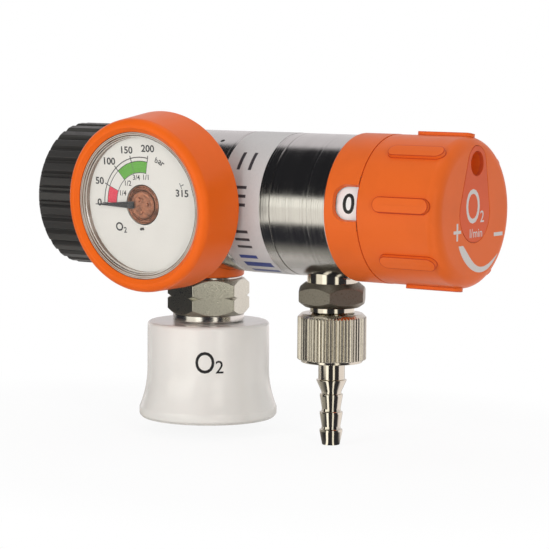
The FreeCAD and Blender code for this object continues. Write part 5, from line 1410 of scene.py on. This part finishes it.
class REGULATOR_OT_studio(PieceOperator, bpy.types.Operator):
    """White floor, studio surroundings, soft lamps and the photograph's camera"""

    bl_idname = "regulator.studio"
    bl_label = "Studio"

    def build(self):
        scene = bpy.context.scene
        low = min(corner[2] for corner in CAD_BOX) / MM - 0.3
        corners = [(3000 * a, 3000 * b, low) for a, b in SQUARE]
        floor = piece_of("floor", corners, [(0, 1, 2, 3)])
        wear(floor, "white_floor")
        scene.world = bpy.data.worlds.new("studio")
        self.surroundings(Tree(scene.world))
        for name, place, aim, width, height, power in (
            ("left_box", (-0.10, -1.10, 0.16), (0.06, 0.0, -0.02), 0.55, 0.6, 4.9),
            ("right_box", (1.05, -0.62, 0.14), (0.09, 0.0, -0.02), 0.30, 0.7, 3.4),
            ("top_box", (-0.05, 0.05, 1.0), (0.07, 0.0, 0.0), 0.9, 0.7, 2.2),
            ("back_glow", (0.35, 1.2, 0.3), (0.07, 0.0, 0.0), 1.4, 1.0, 3.5),
        ):
            lamp = bpy.data.lights.new(name, "AREA")
            lamp.shape = "RECTANGLE"
            lamp.size = width
            lamp.size_y = height
            lamp.energy = power
            holder = linked(name, lamp)
            holder.location = place
            holder.rotation_euler = (Vector(aim) - Vector(place)).to_track_quat("-Z", "Y").to_euler()
            holder.visible_glossy = False
        lens = bpy.data.cameras.new("photograph")
        lens.sensor_width = 36.0
        lens.lens = 155.57
        camera = linked("photograph", lens)
        turn, rise, roll = (math.radians(value) for value in (34.658, 5.583, 0.4257))
        back = Vector((math.sin(turn) * math.cos(rise), -math.cos(turn) * math.cos(rise), math.sin(rise)))
        right = Vector((math.cos(turn), math.sin(turn), 0.0))
        up = back.cross(right)
        cosine, sine = math.cos(roll), math.sin(roll)
        axes = (cosine * right + sine * up, cosine * up - sine * right, back)
        matrix = Matrix(axes).transposed().to_4x4()
        look_at, distance = Vector((73.4, 0.0, -24.16)) * MM, 794.2 * MM
        matrix.translation = look_at + back * distance
        camera.matrix_world = matrix
        scene.camera = camera
        scene.view_settings.view_transform = "Standard"

    def surroundings(self, tree):
        """The room as mirrors see it: dark, bright behind and above, with two pale boards in front."""
        camera, glossy, through = seen_by(tree)
        x, y, z = tree.parts(tree.node("ShaderNodeTexCoord", output="Generated"))
        turn = x.arctangent(-1.0 * y) * (180 / math.pi)
        rise = z.arcsine() * (180 / math.pi)
        painted_reflections = [
            ((0.80, 0.76, 0.77), y.ramp(0.17, 0.33).largest(rise.ramp(66.0, 74.0))),
            ((1.5, 1.46, 1.30), turn.between(-42.0, 10.0) * rise.between(-25.0, 12.0)),
            ((1.2, 1.16, 1.04), turn.between(44.0, 62.0) * rise.between(-30.0, 24.0)),
        ]
        seen = (0.018, 0.018, 0.02, 1.0)
        for tone, place in painted_reflections:
            seen = tree.mix(seen, (*tone, 1.0), place)
        plain = tree.mix((0.48, 0.48, 0.485, 1.0), seen, glossy)
        shade = tree.mix(plain, WHITE, camera.largest(through))
        light = tree.node("ShaderNodeBackground", None, {"Color": shade, "Strength": 1.0})
        tree.finish(light, "ShaderNodeOutputWorld")


OPERATORS = (
    REGULATOR_OT_studio,
    REGULATOR_OT_handwheel,
    REGULATOR_OT_inlet,
    REGULATOR_OT_body,
    REGULATOR_OT_label,
    REGULATOR_OT_window,
    REGULATOR_OT_knob,
    REGULATOR_OT_gauge,
    REGULATOR_OT_dial,
    REGULATOR_OT_coupling,
    REGULATOR_OT_sleeve,
    REGULATOR_OT_outlet,
    REGULATOR_OT_inner_parts,
)


class REGULATOR_PT_pieces(bpy.types.Panel):
    """Buttons for every piece of the regulator, with its sizes and colours"""

    bl_idname = "REGULATOR_PT_pieces"
    bl_label = "Oxygen regulator"
    bl_space_type = "VIEW_3D"
    bl_region_type = "UI"
    bl_category = "Regulator"

    def draw(self, context):
        layout = self.layout
        for operator in OPERATORS:
            layout.operator(operator.bl_idname)
        for group in (context.scene.regulator_sizes, context.scene.regulator_colours):
            box = layout.box()
            for name in group.bl_rna.properties.keys():
                if name not in ("rna_type", "name"):
                    box.prop(group, name)


CLASSES = (RegulatorSizes, RegulatorColours, *OPERATORS, REGULATOR_PT_pieces)


def register():
    for cls in CLASSES:
        bpy.utils.register_class(cls)
    bpy.types.Scene.regulator_sizes = bpy.props.PointerProperty(type=RegulatorSizes)
    bpy.types.Scene.regulator_colours = bpy.props.PointerProperty(type=RegulatorColours)


def unregister():
    del bpy.types.Scene.regulator_colours
    del bpy.types.Scene.regulator_sizes
    for cls in reversed(CLASSES):
        bpy.utils.unregister_class(cls)


def main():
    """Builds the whole regulator."""
    register()
    for operator in OPERATORS:
        getattr(bpy.ops.regulator, operator.bl_idname.split(".")[1])()


if __name__ == "__main__":
    main()
